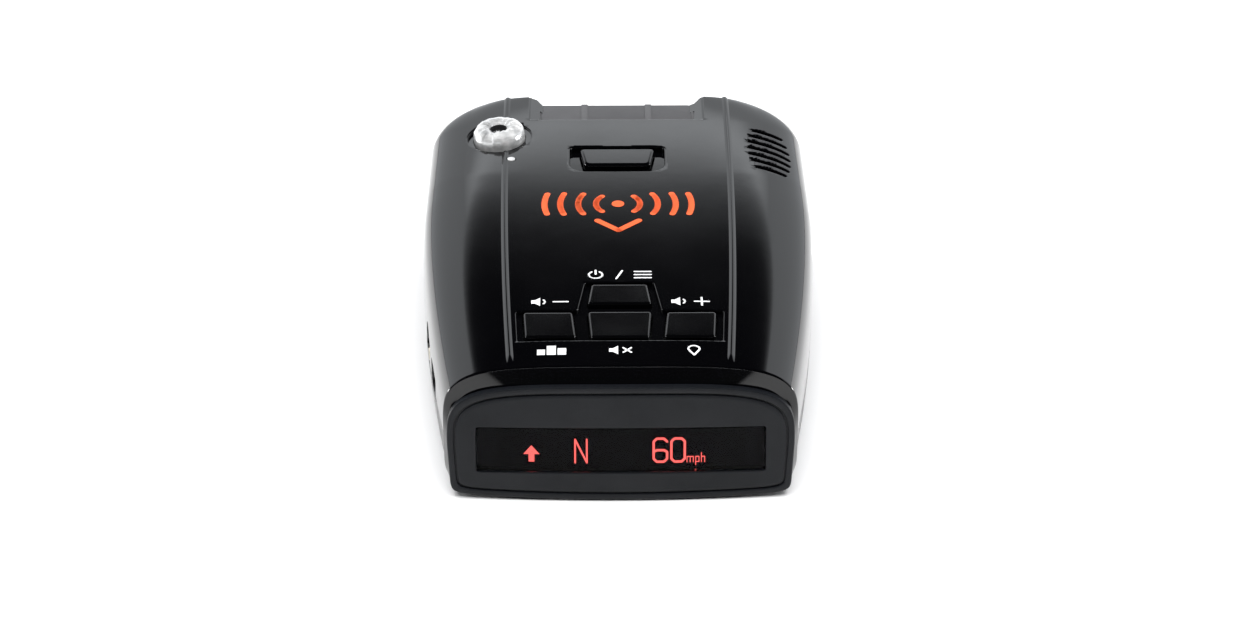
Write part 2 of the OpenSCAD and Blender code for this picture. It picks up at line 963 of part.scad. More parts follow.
// Flat cable between the key board and the main board
module key_ribbon() {
    color([0.85, 0.8, 0.6])
        translate([-5, -19.3, 10.65])
            block([0, 0, 0], [10, 0.3, 4.9]);
}

// ---------- bracket release ----------

module release_button() {
    color([0.03, 0.03, 0.035])
        on_roof(release_y) {
            prism(release_outline, release_flange_top, 0.35);
            block([-8.2, -4.2, release_block_low], [8.2, 4.4, release_flange_top]);
            block([-4.5, 3.2, -5.9], [4.5, 4.4, release_block_low]);
            block([-4.5, 4.4, -5.9], [4.5, 11, -4.9]);
            translate([-3, 0, 0])
                rotate([90, 0, 90])
                    linear_extrude(6)
                        polygon([[8.3, -4.9], [10.5, -4.9], [10.5, -2.2], [8.9, -1.3], [8.3, -1.3]]);
        }
}

// Point on the release spring's centre line
function coil_point(t, r, turns, low, high) = [
    r * cos(360 * turns * t), r * sin(360 * turns * t), low + (high - low) * t
];

// From the latch bridge up to the button, with the button at rest
module release_spring() {
    turns = 3.5;
    steps = 56;
    wire_r = 0.2;
    sides = 6;
    coil_r = 1.85;
    low = bridge_top + wire_r + 0.06;
    high = release_block_low - wire_r - 0.06;
    color("silver")
        on_roof(release_y)
            loft_tube([for (i = [0:steps]) coil_point(i / steps, coil_r, turns, low, high)], wire_r, sides, turns);
}

// Tube of small radius along a coil, each ring in the plane through the coil's axis
module loft_tube(path, wire_r, sides, turns) {
    steps = len(path) - 1;
    rings = [
        for (i = [0:steps])
            let (turn = 360 * turns * i / steps, p = path[i])
            [
                for (k = [0:sides - 1])
                    let (a = 360 * k / sides)
                    [
                        p[0] + wire_r * cos(a) * cos(turn), p[1] + wire_r * cos(a) * sin(turn),
                        p[2] + wire_r * sin(a)
                    ]
            ]
    ];
    points = [for (ring = rings) each ring];
    walls = [
        for (j = [0:steps - 1], k = [0:sides - 1])
            let (a = j * sides + k, b = j * sides + (k + 1) % sides)
            each [[a, a + sides, b], [b, a + sides, b + sides]]
    ];
    polyhedron(points, concat(
        walls, [[for (k = [0:sides - 1]) k]],
        [[for (k = [sides - 1:-1:0]) steps * sides + k]]
    ));
}

module latch_bridge() {
    color([0.1, 0.1, 0.11])
        on_roof(release_y)
            difference() {
                union() {
                    block([-14, -3, bridge_top - 1], [14, 3, bridge_top]);
                    rod([0, 0], 1.2, bridge_top, bridge_top + 1, 24);
                }
                for (side = [-1, 1])
                    rod([side * bridge_post_x, 0], 0.95, bridge_top - 2, bridge_top + 1, 20);
            }
}

module bracket_socket() {
    low = -socket_floor - socket_t;
    color([0.13, 0.13, 0.14])
        difference() {
            on_roof(pocket_y) {
                block([-16.6, -0.5, low], [16.6, 18, -socket_floor]);
                block([-19.4, 9.7, low], [19.4, 16.5, -socket_floor]);
                block([-notch_half + 0.1, 18, low], [notch_half - 0.1, 20.75, -socket_floor]);
                block([-16.6, -0.5, -socket_floor], [16.6, -0.05, socket_wall_top]);
                for (side = [-1, 1])
                    block([side * 16 - 0.8, -0.05, -socket_floor], [side * 16 + 0.8, 17.2, socket_wall_top]);
                for (side = [-1, 1])
                    block([side * 6.45 - 0.65, 4, -socket_floor], [side * 6.45 + 0.65, 20.75, -socket_floor + 0.25]);
            }
            on_roof(release_y)
                block([-3.4, 7.9, -8], [3.4, 11, 0]);
            for (at = socket_screw_at)
                on_roof(at[1])
                    rod([at[0], 0], 0.9, -8, 0, 20);
        }
}

// ---------- speaker ----------

module at_speaker() {
    translate(speaker_at)
        rotate([roof_slope, 0, 0])
            rotate([0, speaker_tilt, 0])
                children();
}

module speaker_frame() {
    color([0.3, 0.3, 0.32])
        at_speaker()
            rotate_extrude($fn = 64)
                polygon([[7.4, 0], [8.5, 0], [8.5, -0.8], [7.9, -1], [5.6, -3.7], [2.9, -3.7], [2.9, -3.3], [5.3, -3.3], [7.4, -0.8]]);
}

module speaker_magnet() {
    color([0.55, 0.56, 0.6])
        at_speaker()
            rotate_extrude($fn = 48)
                polygon([[0, -3.9], [1.6, -3.9], [1.6, -4.6], [3.1, -4.6], [3.1, -3.8], [5, -3.8], [5, -6.2], [0, -6.2]]);
}

module speaker_cone() {
    color([0.12, 0.12, 0.12])
        at_speaker()
            rotate_extrude($fn = 64)
                polygon([
                    [0, -1.1], [1.2, -1.2], [2.2, -1.6], [2.6, -1.7], [5.6, -0.5], [6.3, -0.2], [7, -0.5],
                    [7, -0.8], [6.3, -0.5], [5.6, -0.8], [2.7, -2], [2.7, -2.9], [2.4, -2.9], [2.4, -1.95], [2.1, -1.9], [0, -1.4]
                ]);
}

module speaker_gasket() {
    color([0.15, 0.15, 0.16])
        at_speaker()
            difference() {
                rod([0, 0], 8.5, 0.05, 1.1, 64);
                rod([0, 0], 7.3, -1, 3, 64);
            }
}

module speaker_felt() {
    color([0.1, 0.1, 0.1])
        at_speaker()
            rod([0, 0], 8.4, 1.15, 1.4, 64);
}

// ---------- side sockets ----------

module power_jack() {
    color([0.08, 0.08, 0.09])
        translate([0, power_y, power_z])
            difference() {
                block([23, -6.6, board_top + lift - power_z], [36.2, 6.6, 5.7]);
                block([25.2, -4.9, -3.4], [38, 4.9, 3.4]);
                block([25.2, -1.6, 3.3], [38, 1.6, 4.6]);
            }
}

module power_jack_contacts() {
    color([0.85, 0.65, 0.3])
        translate([0, power_y, power_z])
            for (i = [-1.5:1:1.5])
                translate([0, i * 1.02 - 0.2, 0])
                    block([26.4, 0, -3.3], [34, 0.4, -2.7]);
}

module audio_jack() {
    color([0.06, 0.06, 0.07])
        difference() {
            block([-32.4, audio_y - 3.2, board_top + lift], [-21, audio_y + 3.2, 15]);
            translate([-36, audio_y, audio_z])
                rotate([0, 90, 0])
                    cylinder(r = 2.55, h = 14.6, $fn = 40);
        }
}

module audio_jack_sleeve() {
    color([0.8, 0.78, 0.72])
        translate([0, audio_y, audio_z])
            rotate([0, 90, 0])
                difference() {
                    union() {
                        translate([0, 0, -35])
                            cylinder(r = 3.1, h = 2.1, $fn = 48);
                        translate([0, 0, -33.4])
                            cylinder(r = 2.5, h = 11.8, $fn = 48);
                    }
                    translate([0, 0, -36])
                        cylinder(r = audio_bore_r, h = 20, $fn = 48);
                }
}

module data_jack() {
    color("silver")
        translate([0, data_y, data_z])
            difference() {
                block([-33, -3.9, -2], [-25, 3.9, 2]);
                block([-34, -3.55, -1.65], [-25.4, 3.55, 1.65]);
            }
}

module data_jack_tongue() {
    color([0.1, 0.1, 0.1])
        translate([0, data_y, data_z])
            block([-32.4, -2.6, -0.5], [-25.5, 2.6, 0.5]);
}

// ---------- fasteners ----------

module housing_screws() {
    color([0.2, 0.2, 0.22])
        for (at = housing_screw_at)
            translate([at[0], at[1], 3.5])
                rotate([180, 0, 0])
                    screw(1.1, 14, 2, 1.4);
}

module inner_screws() {
    color("silver") {
        for (at = board_screw_at)
            translate([at[0], at[1], board_top + 0.02])
                screw(0.9, 5, 1.7, 0.9);
        on_roof(keys_y)
            for (at = keys_post_at)
                translate([at[0], at[1], keyboard_top - keyboard_t - 0.02])
                    rotate([180, 0, 0])
                        screw(0.8, 4, 1.5, 0.8);
        on_roof(release_y)
            for (side = [-1, 1])
                translate([side * bridge_post_x, 0, bridge_top - 1.02])
                    rotate([180, 0, 0])
                        screw(0.8, 4, 1.5, 0.8);
        for (at = socket_screw_at)
            on_roof(at[1])
                translate([at[0], 0, -socket_floor - socket_t - 0.02])
                    rotate([180, 0, 0])
                        screw(0.8, 3, 1.2, 0.7);
    }
}

top_housing();
bottom_housing();
bezel_frame();
face_panel();
display_window();
window_gasket();
display_panel();
display_board();
display_ribbon();
main_board();
ribbon_sockets();
processor_chips();
crystal_cans();
shield_can();
power_inductor();
capacitors();
gps_antenna();
gps_electrode();
microwave_horn();
horn_board();
horn_cover();
horn_screws();
antenna_window();
front_laser_lens();
front_laser_sensor();
rear_laser_lens();
lens_clip();
rear_laser_sensor();
light_pipe();
light_sensor();
power_key();
mute_key();
volume_down_key();
volume_up_key();
power_plunger();
mute_plunger();
volume_down_plunger();
volume_up_plunger();
key_switches();
key_board();
key_ribbon();
release_button();
release_spring();
latch_bridge();
bracket_socket();
speaker_frame();
speaker_magnet();
speaker_cone();
speaker_gasket();
speaker_felt();
power_jack();
power_jack_contacts();
audio_jack();
audio_jack_sleeve();
data_jack();
data_jack_tongue();
housing_screws();
inner_screws();
rating_label();
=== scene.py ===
"""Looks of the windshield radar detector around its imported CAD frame.

Lengths are in millimetres, apart from those of the camera and the lights, which are in metres.
"""

import json
import math

import bpy
import numpy as np
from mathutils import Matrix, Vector


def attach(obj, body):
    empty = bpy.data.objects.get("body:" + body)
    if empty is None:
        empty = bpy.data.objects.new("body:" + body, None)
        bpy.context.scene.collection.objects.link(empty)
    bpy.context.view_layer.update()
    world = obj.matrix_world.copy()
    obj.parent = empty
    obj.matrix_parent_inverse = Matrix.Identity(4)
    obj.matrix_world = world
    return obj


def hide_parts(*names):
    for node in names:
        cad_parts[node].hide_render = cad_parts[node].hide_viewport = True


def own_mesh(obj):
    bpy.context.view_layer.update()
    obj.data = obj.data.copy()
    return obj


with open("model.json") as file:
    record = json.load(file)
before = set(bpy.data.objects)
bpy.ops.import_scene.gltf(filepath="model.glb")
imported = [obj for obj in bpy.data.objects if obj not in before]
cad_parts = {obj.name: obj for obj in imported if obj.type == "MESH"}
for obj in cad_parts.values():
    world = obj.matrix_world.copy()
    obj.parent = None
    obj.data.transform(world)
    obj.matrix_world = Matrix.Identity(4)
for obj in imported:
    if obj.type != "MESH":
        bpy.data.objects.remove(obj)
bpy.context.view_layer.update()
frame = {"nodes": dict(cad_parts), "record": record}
NODES = frame["nodes"]
MM = 0.001

# ---------- the housing's surface, as in the CAD ----------

SLOPE = math.radians(4.4)
LEAN = math.radians(9)
FRONT_Y, SEAM_Y, FLAT_REAR_Y = -55.0, -48.3, 54.5
CORNER_X, CORNER_Y, CORNER_R = 25.5, 42.5, 12.0
HALF_W, WIDEST_Y, FRONT_TAPER, TAPER_RUN, TAPER_POWER = 37.5, 16, 6.4, 64.3, 1.6
ROOF_FRONT_Z = 23.2
FRONT_SQUARENESS, SQUARENESS_GAIN, SQUARENESS_RUN = 4.3, 2.3, 70
RIDGE_X_REAR, RIDGE_NARROWING, RIDGE_REAR_Y, RIDGE_RUN, RIDGE_POWER = 22.05, 2.9, 52, 100, 2.2
REAR_BULGE, BULGE_START, BULGE_RUN = 0.5, 40, 14.5
PARTING_Z = 10.0
PARTING_GAP = 0.05
REAR_EDGE_R, LEAST_EDGE_R = 1.2, 0.8
FACE_RISE, FACE_H, FACE_W, FACE_CURVE = 0.26, 20.9, 60.8, 350.0
LOWER_CORNER = 0.11
FACE_T = 1.6
WALL = 2.0
CAVITY_START, CAVITY_FRONT = -52.0, -48.0
SOCKET_END, NOTCH_BACKING = 51.2, 0.8
PANES_Z = 15.5


def half_w(y, inset):
    """Half width of the housing in plan."""
    y = np.asarray(y, float)
    front = HALF_W - inset - FRONT_TAPER * (np.maximum(0, WIDEST_Y - y) / TAPER_RUN) ** TAPER_POWER
    rear = CORNER_X + np.sqrt(np.maximum(0, (CORNER_R - inset) ** 2 - (y - CORNER_Y) ** 2))
    return np.where(y <= CORNER_Y, front, rear)


def rear_fall(y, inset):
    """How far the roof and floor turn in at the rounded rear edge."""
    r = max(REAR_EDGE_R - inset, LEAST_EDGE_R)
    start = FLAT_REAR_Y - inset - r
    over = np.clip(np.asarray(y, float) - start, 0, r)
    return r - np.sqrt(np.maximum(0, r * r - over**2))


def roof(y, inset):
    """Height of the roof's centre line."""
    return ROOF_FRONT_Z + math.tan(SLOPE) * (np.asarray(y, float) - SEAM_Y) - inset - rear_fall(y, inset)


def squareness(y):
    """Exponent of the superellipse across the roof."""
    along = np.clip((np.asarray(y, float) - SEAM_Y) / SQUARENESS_RUN, 0, 1)
    return FRONT_SQUARENESS + SQUARENESS_GAIN * along


def shell_z(x, y, inset=0.0):
    """Height of the housing's surface over a plan position."""
    n = squareness(y)
    part = np.minimum(1, np.abs(x) / half_w(y, inset))
    return PARTING_Z + (roof(y, inset) - PARTING_Z) * (1 - part**n) ** (1 / n)


def ridge_x(y):
    """Distance of the roof ridges from the centre line."""
    return RIDGE_X_REAR - RIDGE_NARROWING * (np.maximum(0, RIDGE_REAR_Y - y) / RIDGE_RUN) ** RIDGE_POWER


def bowed(y, x):
    """Y with the rear wall's bulge added."""
    rearward = np.clip((y - BULGE_START) / BULGE_RUN, 0, 1) ** 2
    return y + REAR_BULGE * rearward * np.maximum(0, 1 - (x / CORNER_X) ** 2)


# ---------- mesh building ----------


def make(name, verts, faces):
    mesh = bpy.data.meshes.new(name)
    mesh.from_pydata([tuple(v) for v in np.asarray(verts, float) * MM], [], faces)
    mesh.update()
    obj = bpy.data.objects.new(name, mesh)
    bpy.context.scene.collection.objects.link(obj)
    return obj


def loft_data(rings, caps=True, wrap=False):
    """Vertices and faces through closed rings; caps are single faces, wrap joins last to first."""
    rings = np.asarray(rings, float)
    m, n = rings.shape[:2]
    faces = []
    for j in range(m if wrap else m - 1):
        k = (j + 1) % m
        for i in range(n):
            i2 = (i + 1) % n
            faces.append((j * n + i, j * n + i2, k * n + i2, k * n + i))
    if caps and not wrap:
        faces.append(tuple(range(n - 1, -1, -1)))
        faces.append(tuple((m - 1) * n + i for i in range(n)))
    return rings.reshape(-1, 3), faces


def outward(obj):
    """Turns a closed mesh's faces so that its volume is positive."""
    mesh = obj.data
    co = np.array([v.co for v in mesh.vertices])
    mesh.calc_loop_triangles()
    tri = np.array([t.vertices for t in mesh.loop_triangles])
    volume = np.einsum("ij,ij->i", co[tri[:, 0]], np.cross(co[tri[:, 1]], co[tri[:, 2]])).sum()
    if volume < 0:
        mesh.flip_normals()
    return obj


def loft(name, rings, wrap=False):
    return outward(make(name, *loft_data(rings, wrap=wrap)))


def joined(name, parts):
    """One object from several, with their materials dropped."""
    verts, faces, base = [], [], 0
    for part in parts:
        verts += [np.array(v.co) / MM for v in part.data.vertices]
        faces += [tuple(i + base for i in p.vertices) for p in part.data.polygons]
        base = len(verts)
        bpy.data.objects.remove(part)
    return make(name, verts, faces)


def applied(obj):
    """Replaces a mesh by what its modifiers make of it."""
    shown = obj.evaluated_get(bpy.context.evaluated_depsgraph_get())
    mesh = bpy.data.meshes.new_from_object(shown)
    obj.modifiers.clear()
    obj.data = mesh
    return obj


def cut(obj, cutters):
    for cutter in cutters:
        mod = obj.modifiers.new("cut", "BOOLEAN")
        mod.operation = "DIFFERENCE"
        mod.solver = "MANIFOLD"
        mod.object = cutter
    applied(obj)
    for cutter in cutters:
        bpy.data.objects.remove(cutter)
    return obj


def smooth(obj, angle=32):
    """Smooth shading with creases at sharp edges, weighted by face area."""
    mesh = obj.data
    for poly in mesh.polygons:
        poly.use_smooth = True
    faces_at = {}
    for poly in mesh.polygons:
        for key in poly.edge_keys:
            faces_at.setdefault(key, []).append(poly.index)
    normals = [poly.normal for poly in mesh.polygons]
    limit = math.cos(math.radians(angle))
    for edge in mesh.edges:
        pair = faces_at.get(edge.key, [])
        if len(pair) != 2 or normals[pair[0]].dot(normals[pair[1]]) < limit:
            edge.use_edge_sharp = True
    mod = obj.modifiers.new("weighted", "WEIGHTED_NORMAL")
    mod.keep_sharp = True
    mod.weight = 80
    return applied(obj)


# ---------- outlines and profiled solids ----------


def rounded(corners, radius, bends, run):
    """Points and outward normals round a counter-clockwise outline.

    Each corner bends in so many steps, and the straight sides have points about run apart.
    """
    c = [np.array(p, float) for p in corners]
    count = len(c)
    radii = list(radius) if hasattr(radius, "__len__") else [radius] * count
    pts, nrm = [], []
    for i in range(count):
        a, b, d = c[i - 1], c[i], c[(i + 1) % count]
        e1, e2 = (b - a) / np.linalg.norm(b - a), (d - b) / np.linalg.norm(d - b)
        turn = math.atan2(e1[0] * e2[1] - e1[1] * e2[0], e1 @ e2)
        side = math.copysign(1, turn)
        n1 = np.array([e1[1], -e1[0]])
        centre = b - e1 * radii[i] * math.tan(abs(turn) / 2) - n1 * radii[i] * side
        for k in range(bends + 1):
            t = turn * k / bends
            cs, sn = math.cos(t), math.sin(t)
            normal = np.array([n1[0] * cs - n1[1] * sn, n1[0] * sn + n1[1] * cs])
            pts.append(centre + normal * radii[i] * side)
            nrm.append(normal)
    out_p, out_n = [], []
    for i, (p, normal) in enumerate(zip(pts, nrm)):
        q = pts[(i + 1) % len(pts)]
        out_p.append(p)
        out_n.append(normal)
        steps = int(np.linalg.norm(q - p) / run)
        if steps > 1 and (i + 1) % (bends + 1) == 0:
            for s in range(1, steps):
                out_p.append(p + (q - p) * s / steps)
                out_n.append(normal)
    return np.array(out_p), np.array(out_n)


def circle(r, count):
    a = np.linspace(0, 2 * math.pi, count, endpoint=False)
    unit = np.stack([np.cos(a), np.sin(a)], 1)
    return unit * r, unit


def on_roof(y, x=0.0, tilt=0.0):
    """Places (u, v) points at height n over a roof plane, or over the real surface with follow."""
    cs, sn = math.cos(SLOPE), math.sin(SLOPE)
    ct, st = math.cos(math.radians(tilt)), math.sin(math.radians(tilt))
    lean = np.array([[1, 0, 0], [0, cs, -sn], [0, sn, cs]])
    turn = lean @ np.array([[ct, 0, st], [0, 1, 0], [-st, 0, ct]])
    origin = np.array([x, y, float(shell_z(x, y))])

    def place(uv, n, follow=False):
        flat = np.column_stack([uv, np.zeros(len(uv))]) @ turn.T + origin
        if follow:
            flat[:, 2] = shell_z(flat[:, 0], flat[:, 1])
        return flat + turn[:, 2] * n

    place.turn, place.origin = turn, origin
    return place


def on_plan(uv, n, follow=False):
    """Plan positions dropped on the roof surface."""
    return np.column_stack([uv, shell_z(uv[:, 0], uv[:, 1]) + n])


def place_side(side, y, z):
    """Places (u, v) points on a vertical side wall: u along Y or against it, v up, n outward along X."""

    def place(uv, n, follow=False):
        return np.column_stack([np.full(len(uv), side * n), y + side * uv[:, 0], z + uv[:, 1]])

    return place


def place_back(x, z):
    """Places (u, v) points on the antenna end: u along X, v up, n along Y."""

    def place(uv, n, follow=False):
        return np.column_stack([x + uv[:, 0], np.full(len(uv), float(n)), z + uv[:, 1]])

    return place


def solid(name, outline, profile, place, follow=()):
    """Closed solid through the outline grown by each (du, dv, n) of the profile.

    follow lists the rings that hug the roof.
    """
    pts, nrm = outline
    rows = enumerate(profile)
    return loft(name, [place(pts + nrm * np.array([du, dv]), n, k in follow) for k, (du, dv, n) in rows])


def quarter(steps):
    """Angles from 0 to a right angle."""
    return [math.pi / 2 * k / steps for k in range(steps + 1)]


LIP_STEPS, LIP_SPREAD, LIP_RISE, CUTTER_TOP = 5, 0.15, 0.12, 2.0


def lip(r, depth):
    """Cutter profile with a rounded lip of radius r where it meets the surface."""
    rows = [(0, 0, -depth)]
    for a in quarter(LIP_STEPS):
        grow = r * (1 - math.cos(a))
        rows.append((grow, grow, -r * (1 - math.sin(a))))
    return rows + [(r + LIP_SPREAD, r + LIP_SPREAD, n) for n in (LIP_RISE, CUTTER_TOP)]


def lip_follow(rows):
    """Every ring but the lowest hugs the roof."""
    return tuple(range(1, len(rows)))


def cap(r, low, high, steps=5):
    """Profile of a raised solid with its top edge rounded."""
    rows = [(0.0, 0.0, low)]
    for a in quarter(steps):
        inward = -r * (1 - math.cos(a))
        rows.append((inward, inward, high - r + r * math.sin(a)))
    return rows


def box(left, low, right, high):
    """Corners of a rectangle, counter-clockwise."""
    return [(left, low), (right, low), (right, high), (left, high)]


def block_in(place, low, high):
    corners = np.array(box(low[0], low[1], high[0], high[1]), float)
    return loft("block", [place(corners, low[2]), place(corners, high[2])])


# ---------- procedural materials ----------

LEAST_ROUGHNESS, SMOOTHER, ROUGHER = 0.02, 0.8, 1.25
COAT_ROUGHNESS = 0.04
GRAIN_DEPTH = 0.00005
WORN_GAIN, WORN_LIFT = 2.2, 0.03


def material(name, color, rough, metallic=0.0, spec=0.5, coat=0.0, grain=0.0, grain_scale=900.0, mottle=0.06,
             wear=0.0, transmission=0.0, ior=1.5, emission=None, strength=0.0, noise_scale=90.0):
    """Plastic, metal or glass with colour mottle, uneven roughness and a fine bump in object coordinates."""
    mat = bpy.data.materials.new(name)
    mat.use_nodes = True
    tree = mat.node_tree
    shader = tree.nodes["Principled BSDF"]
    put = shader.inputs
    put["Metallic"].default_value = metallic
    put["Specular IOR Level"].default_value = spec
    put["Coat Weight"].default_value = coat
    put["Coat Roughness"].default_value = COAT_ROUGHNESS
    put["IOR"].default_value = ior
    put["Transmission Weight"].default_value = transmission
    if emission:
        put["Emission Color"].default_value = (*emission, 1)
        put["Emission Strength"].default_value = strength
    coords = tree.nodes.new("ShaderNodeTexCoord")

    def noise(scale, detail):
        node = tree.nodes.new("ShaderNodeTexNoise")
        node.inputs["Scale"].default_value = scale
        node.inputs["Detail"].default_value = detail
        tree.links.new(coords.outputs["Object"], node.inputs["Vector"])
        return node.outputs["Fac"]

    def ramp(source, low, high, left, right):
        """Source from left to right becomes low to high."""
        node = tree.nodes.new("ShaderNodeMapRange")
        node.inputs["From Min"].default_value = left
        node.inputs["From Max"].default_value = right
        node.inputs["To Min"].default_value = low
        node.inputs["To Max"].default_value = high
        tree.links.new(source, node.inputs["Value"])
        return node.outputs["Result"]

    least, most = max(LEAST_ROUGHNESS, rough * SMOOTHER), min(1, rough * ROUGHER)
    tree.links.new(ramp(noise(noise_scale, 4), least, most, 0.3, 0.7), put["Roughness"])
    mix = tree.nodes.new("ShaderNodeMix")
    mix.data_type = "RGBA"
    darker = [max(0, c * (1 - mottle)) for c in color]
    lighter = [min(1, c * (1 + mottle)) for c in color]
    mix.inputs["A"].default_value = (*darker, 1)
    mix.inputs["B"].default_value = (*lighter, 1)
    tree.links.new(ramp(noise(noise_scale * 3, 6), 0, 1, 0.35, 0.65), mix.inputs["Factor"])
    result = mix.outputs["Result"]
    if wear:
        geometry = tree.nodes.new("ShaderNodeNewGeometry")
        edge = ramp(geometry.outputs["Pointiness"], 0, wear, 0.53, 0.62)
        worn = tree.nodes.new("ShaderNodeMix")
        worn.data_type = "RGBA"
        tree.links.new(edge, worn.inputs["Factor"])
        tree.links.new(result, worn.inputs["A"])
        worn.inputs["B"].default_value = (*[min(1, c * WORN_GAIN + WORN_LIFT) for c in color], 1)
        result = worn.outputs["Result"]
    tree.links.new(result, put["Base Color"])
    if grain:
        bump = tree.nodes.new("ShaderNodeBump")
        bump.inputs["Strength"].default_value = grain
        bump.inputs["Distance"].default_value = GRAIN_DEPTH
        tree.links.new(noise(grain_scale, 3), bump.inputs["Height"])
        tree.links.new(bump.outputs["Normal"], put["Normal"])
    return mat


FINISH_ROWS = [
    ("gloss_black", (0.001, 0.001, 0.0014), 0.05, dict(grain=0.015, grain_scale=500, wear=0.03)),
    ("base_black", (0.012, 0.012, 0.013), 0.3, dict(grain=0.3, grain_scale=2600, wear=0.3)),
    ("charcoal", (0.0075, 0.0085, 0.0105), 0.42, dict(spec=0.25, grain=0.22, grain_scale=3600)),
    ("smoked_window", (0.13, 0.13, 0.17), 0.04, dict(transmission=1.0, spec=0.08, ior=1.15, mottle=0.02)),
    ("socket_grey", (0.055, 0.055, 0.058), 0.5, dict(grain=0.5, grain_scale=2600, wear=0.4)),
    ("key_black", (0.0012, 0.0012, 0.0015), 0.1, dict(grain=0.03, grain_scale=1800, wear=0.02)),
    ("clear_lens", (0.86, 0.87, 0.88), 0.2,
     dict(metallic=0.35, transmission=0.1, coat=0.5, mottle=0.4, noise_scale=150, grain=0.4,
          grain_scale=380)),
    ("laser_red", (0.03, 0.002, 0.004), 0.08, dict(coat=0.3, mottle=0.1)),
    ("pcb_green", (0.012, 0.085, 0.035), 0.34, dict(coat=0.25, grain=0.35, grain_scale=1400, mottle=0.3)),
    ("chip_black", (0.014, 0.014, 0.015), 0.55, dict(grain=0.6, grain_scale=3200)),
    ("cream_plastic", (0.62, 0.57, 0.43), 0.42, dict(grain=0.25, grain_scale=1800, mottle=0.08)),
    ("tin_plate", (0.66, 0.67, 0.69), 0.27, dict(metallic=1.0, grain=0.3, grain_scale=1500, mottle=0.1)),
    ("zinc_cast", (0.5, 0.51, 0.53), 0.42, dict(metallic=1.0, grain=0.7, grain_scale=1100, mottle=0.12)),
    ("ceramic_tan", (0.6, 0.5, 0.33), 0.5, dict(grain=0.5, grain_scale=1700, mottle=0.15)),
    ("gold_contact", (0.83, 0.6, 0.25), 0.2, dict(metallic=1.0, grain=0.2)),
    ("ribbon_amber", (0.5, 0.24, 0.04), 0.25, dict(coat=0.3, grain=0.3, grain_scale=700, mottle=0.12)),
    ("foam_black", (0.012, 0.012, 0.012), 0.9, dict(spec=0.2, grain=1.0, grain_scale=2200, mottle=0.3)),
    ("screw_black", (0.09, 0.09, 0.095), 0.32, dict(metallic=1.0, grain=0.3, wear=0.6)),
    ("steel", (0.6, 0.6, 0.62), 0.24, dict(metallic=1.0, grain=0.3, grain_scale=1300, mottle=0.1)),
    ("nickel", (0.7, 0.66, 0.58), 0.16, dict(metallic=1.0, grain=0.15, mottle=0.05)),
    ("magnet_grey", (0.26, 0.27, 0.29), 0.35, dict(metallic=0.8, grain=0.6, grain_scale=1200)),
    ("cone_black", (0.02, 0.02, 0.02), 0.85, dict(spec=0.2, grain=1.0, grain_scale=1600, mottle=0.3)),
    ("label_silver", (0.42, 0.43, 0.45), 0.4, dict(metallic=0.3, grain=0.15, grain_scale=1500)),
]
FINISH = {name: material(name, color, rough, **detail) for name, color, rough, detail in FINISH_ROWS}
WHITE_PRINT = material("white_print", (0.86, 0.87, 0.88), 0.5, grain=0.2, grain_scale=2400, mottle=0.04)
ORANGE_PRINT = material("orange_print", (0.86, 0.115, 0.025), 0.45, grain=0.2, grain_scale=2400, mottle=0.05)
READOUT_GLOW = material("readout_glow", (0.5, 0.08, 0.05), 0.5, emission=(1.0, 0.14, 0.095), strength=10.5,
                        mottle=0.1)
PANEL_BLACK = material("panel_black", (0.004, 0.004, 0.006), 0.35, spec=0.15, grain=0.1, mottle=0.15)
SLOT_OF = {row["node"]: row["material_slot"] for row in frame["record"]["subparts"]}


def dress(obj, finish, body="root", slot=None, replaces=()):
    """Gives a new piece its material and body, and hides the CAD nodes it stands for."""
    obj.data.materials.clear()
    obj.data.materials.append(FINISH[finish] if isinstance(finish, str) else finish)
    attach(obj, body)
    slot or finish
    if replaces:
        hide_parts(*replaces)
    return obj


for node, obj in NODES.items():
    obj.data.materials.clear()
    obj.data.materials.append(FINISH[SLOT_OF[node]])
    for poly in obj.data.polygons:
        poly.use_smooth = False

# ---------- camera, floor and light ----------

LOOK_AT = Vector((0.0002, -0.012, 0.015))
AZIMUTH, ELEVATION, DISTANCE = math.radians(-0.5), math.radians(27), 0.55
cam = bpy.data.objects.new("camera", bpy.data.cameras.new("camera"))
bpy.context.scene.collection.objects.link(cam)
level_part = math.cos(ELEVATION)
towards = Vector((math.sin(AZIMUTH) * level_part, -math.cos(AZIMUTH) * level_part, math.sin(ELEVATION)))
cam.location = LOOK_AT + DISTANCE * towards
cam.rotation_euler = (LOOK_AT - cam.location).to_track_quat("-Z", "Y").to_euler()
SENSOR_MM, FOCAL_MM = 36, 85.935484
cam.data.sensor_width = SENSOR_MM
cam.data.lens = FOCAL_MM
cam.data.clip_start = 0.01
bpy.context.scene.camera = cam

FLOOR_HALF = 4000
floor_corners = [(x, y, 0) for y in (-FLOOR_HALF, FLOOR_HALF) for x in (-FLOOR_HALF, FLOOR_HALF)]
floor = make("floor", floor_corners, [(0, 1, 3, 2)])
floor_white = material("floor_white", (0.9, 0.9, 0.905), 0.7, spec=0.2, mottle=0.004, noise_scale=3)
floor.data.materials.append(floor_white)

world = bpy.data.worlds.new("studio")
bpy.context.scene.world = world
world.use_nodes = True
sky = world.node_tree
background = sky.nodes["Background"]
direction = sky.nodes.new("ShaderNodeTexCoord")
split = sky.nodes.new("ShaderNodeSeparateXYZ")
shade = sky.nodes.new("ShaderNodeValToRGB")
sky.links.new(direction.outputs["Generated"], split.inputs["Vector"])
sky.links.new(split.outputs["Z"], shade.inputs["Fac"])


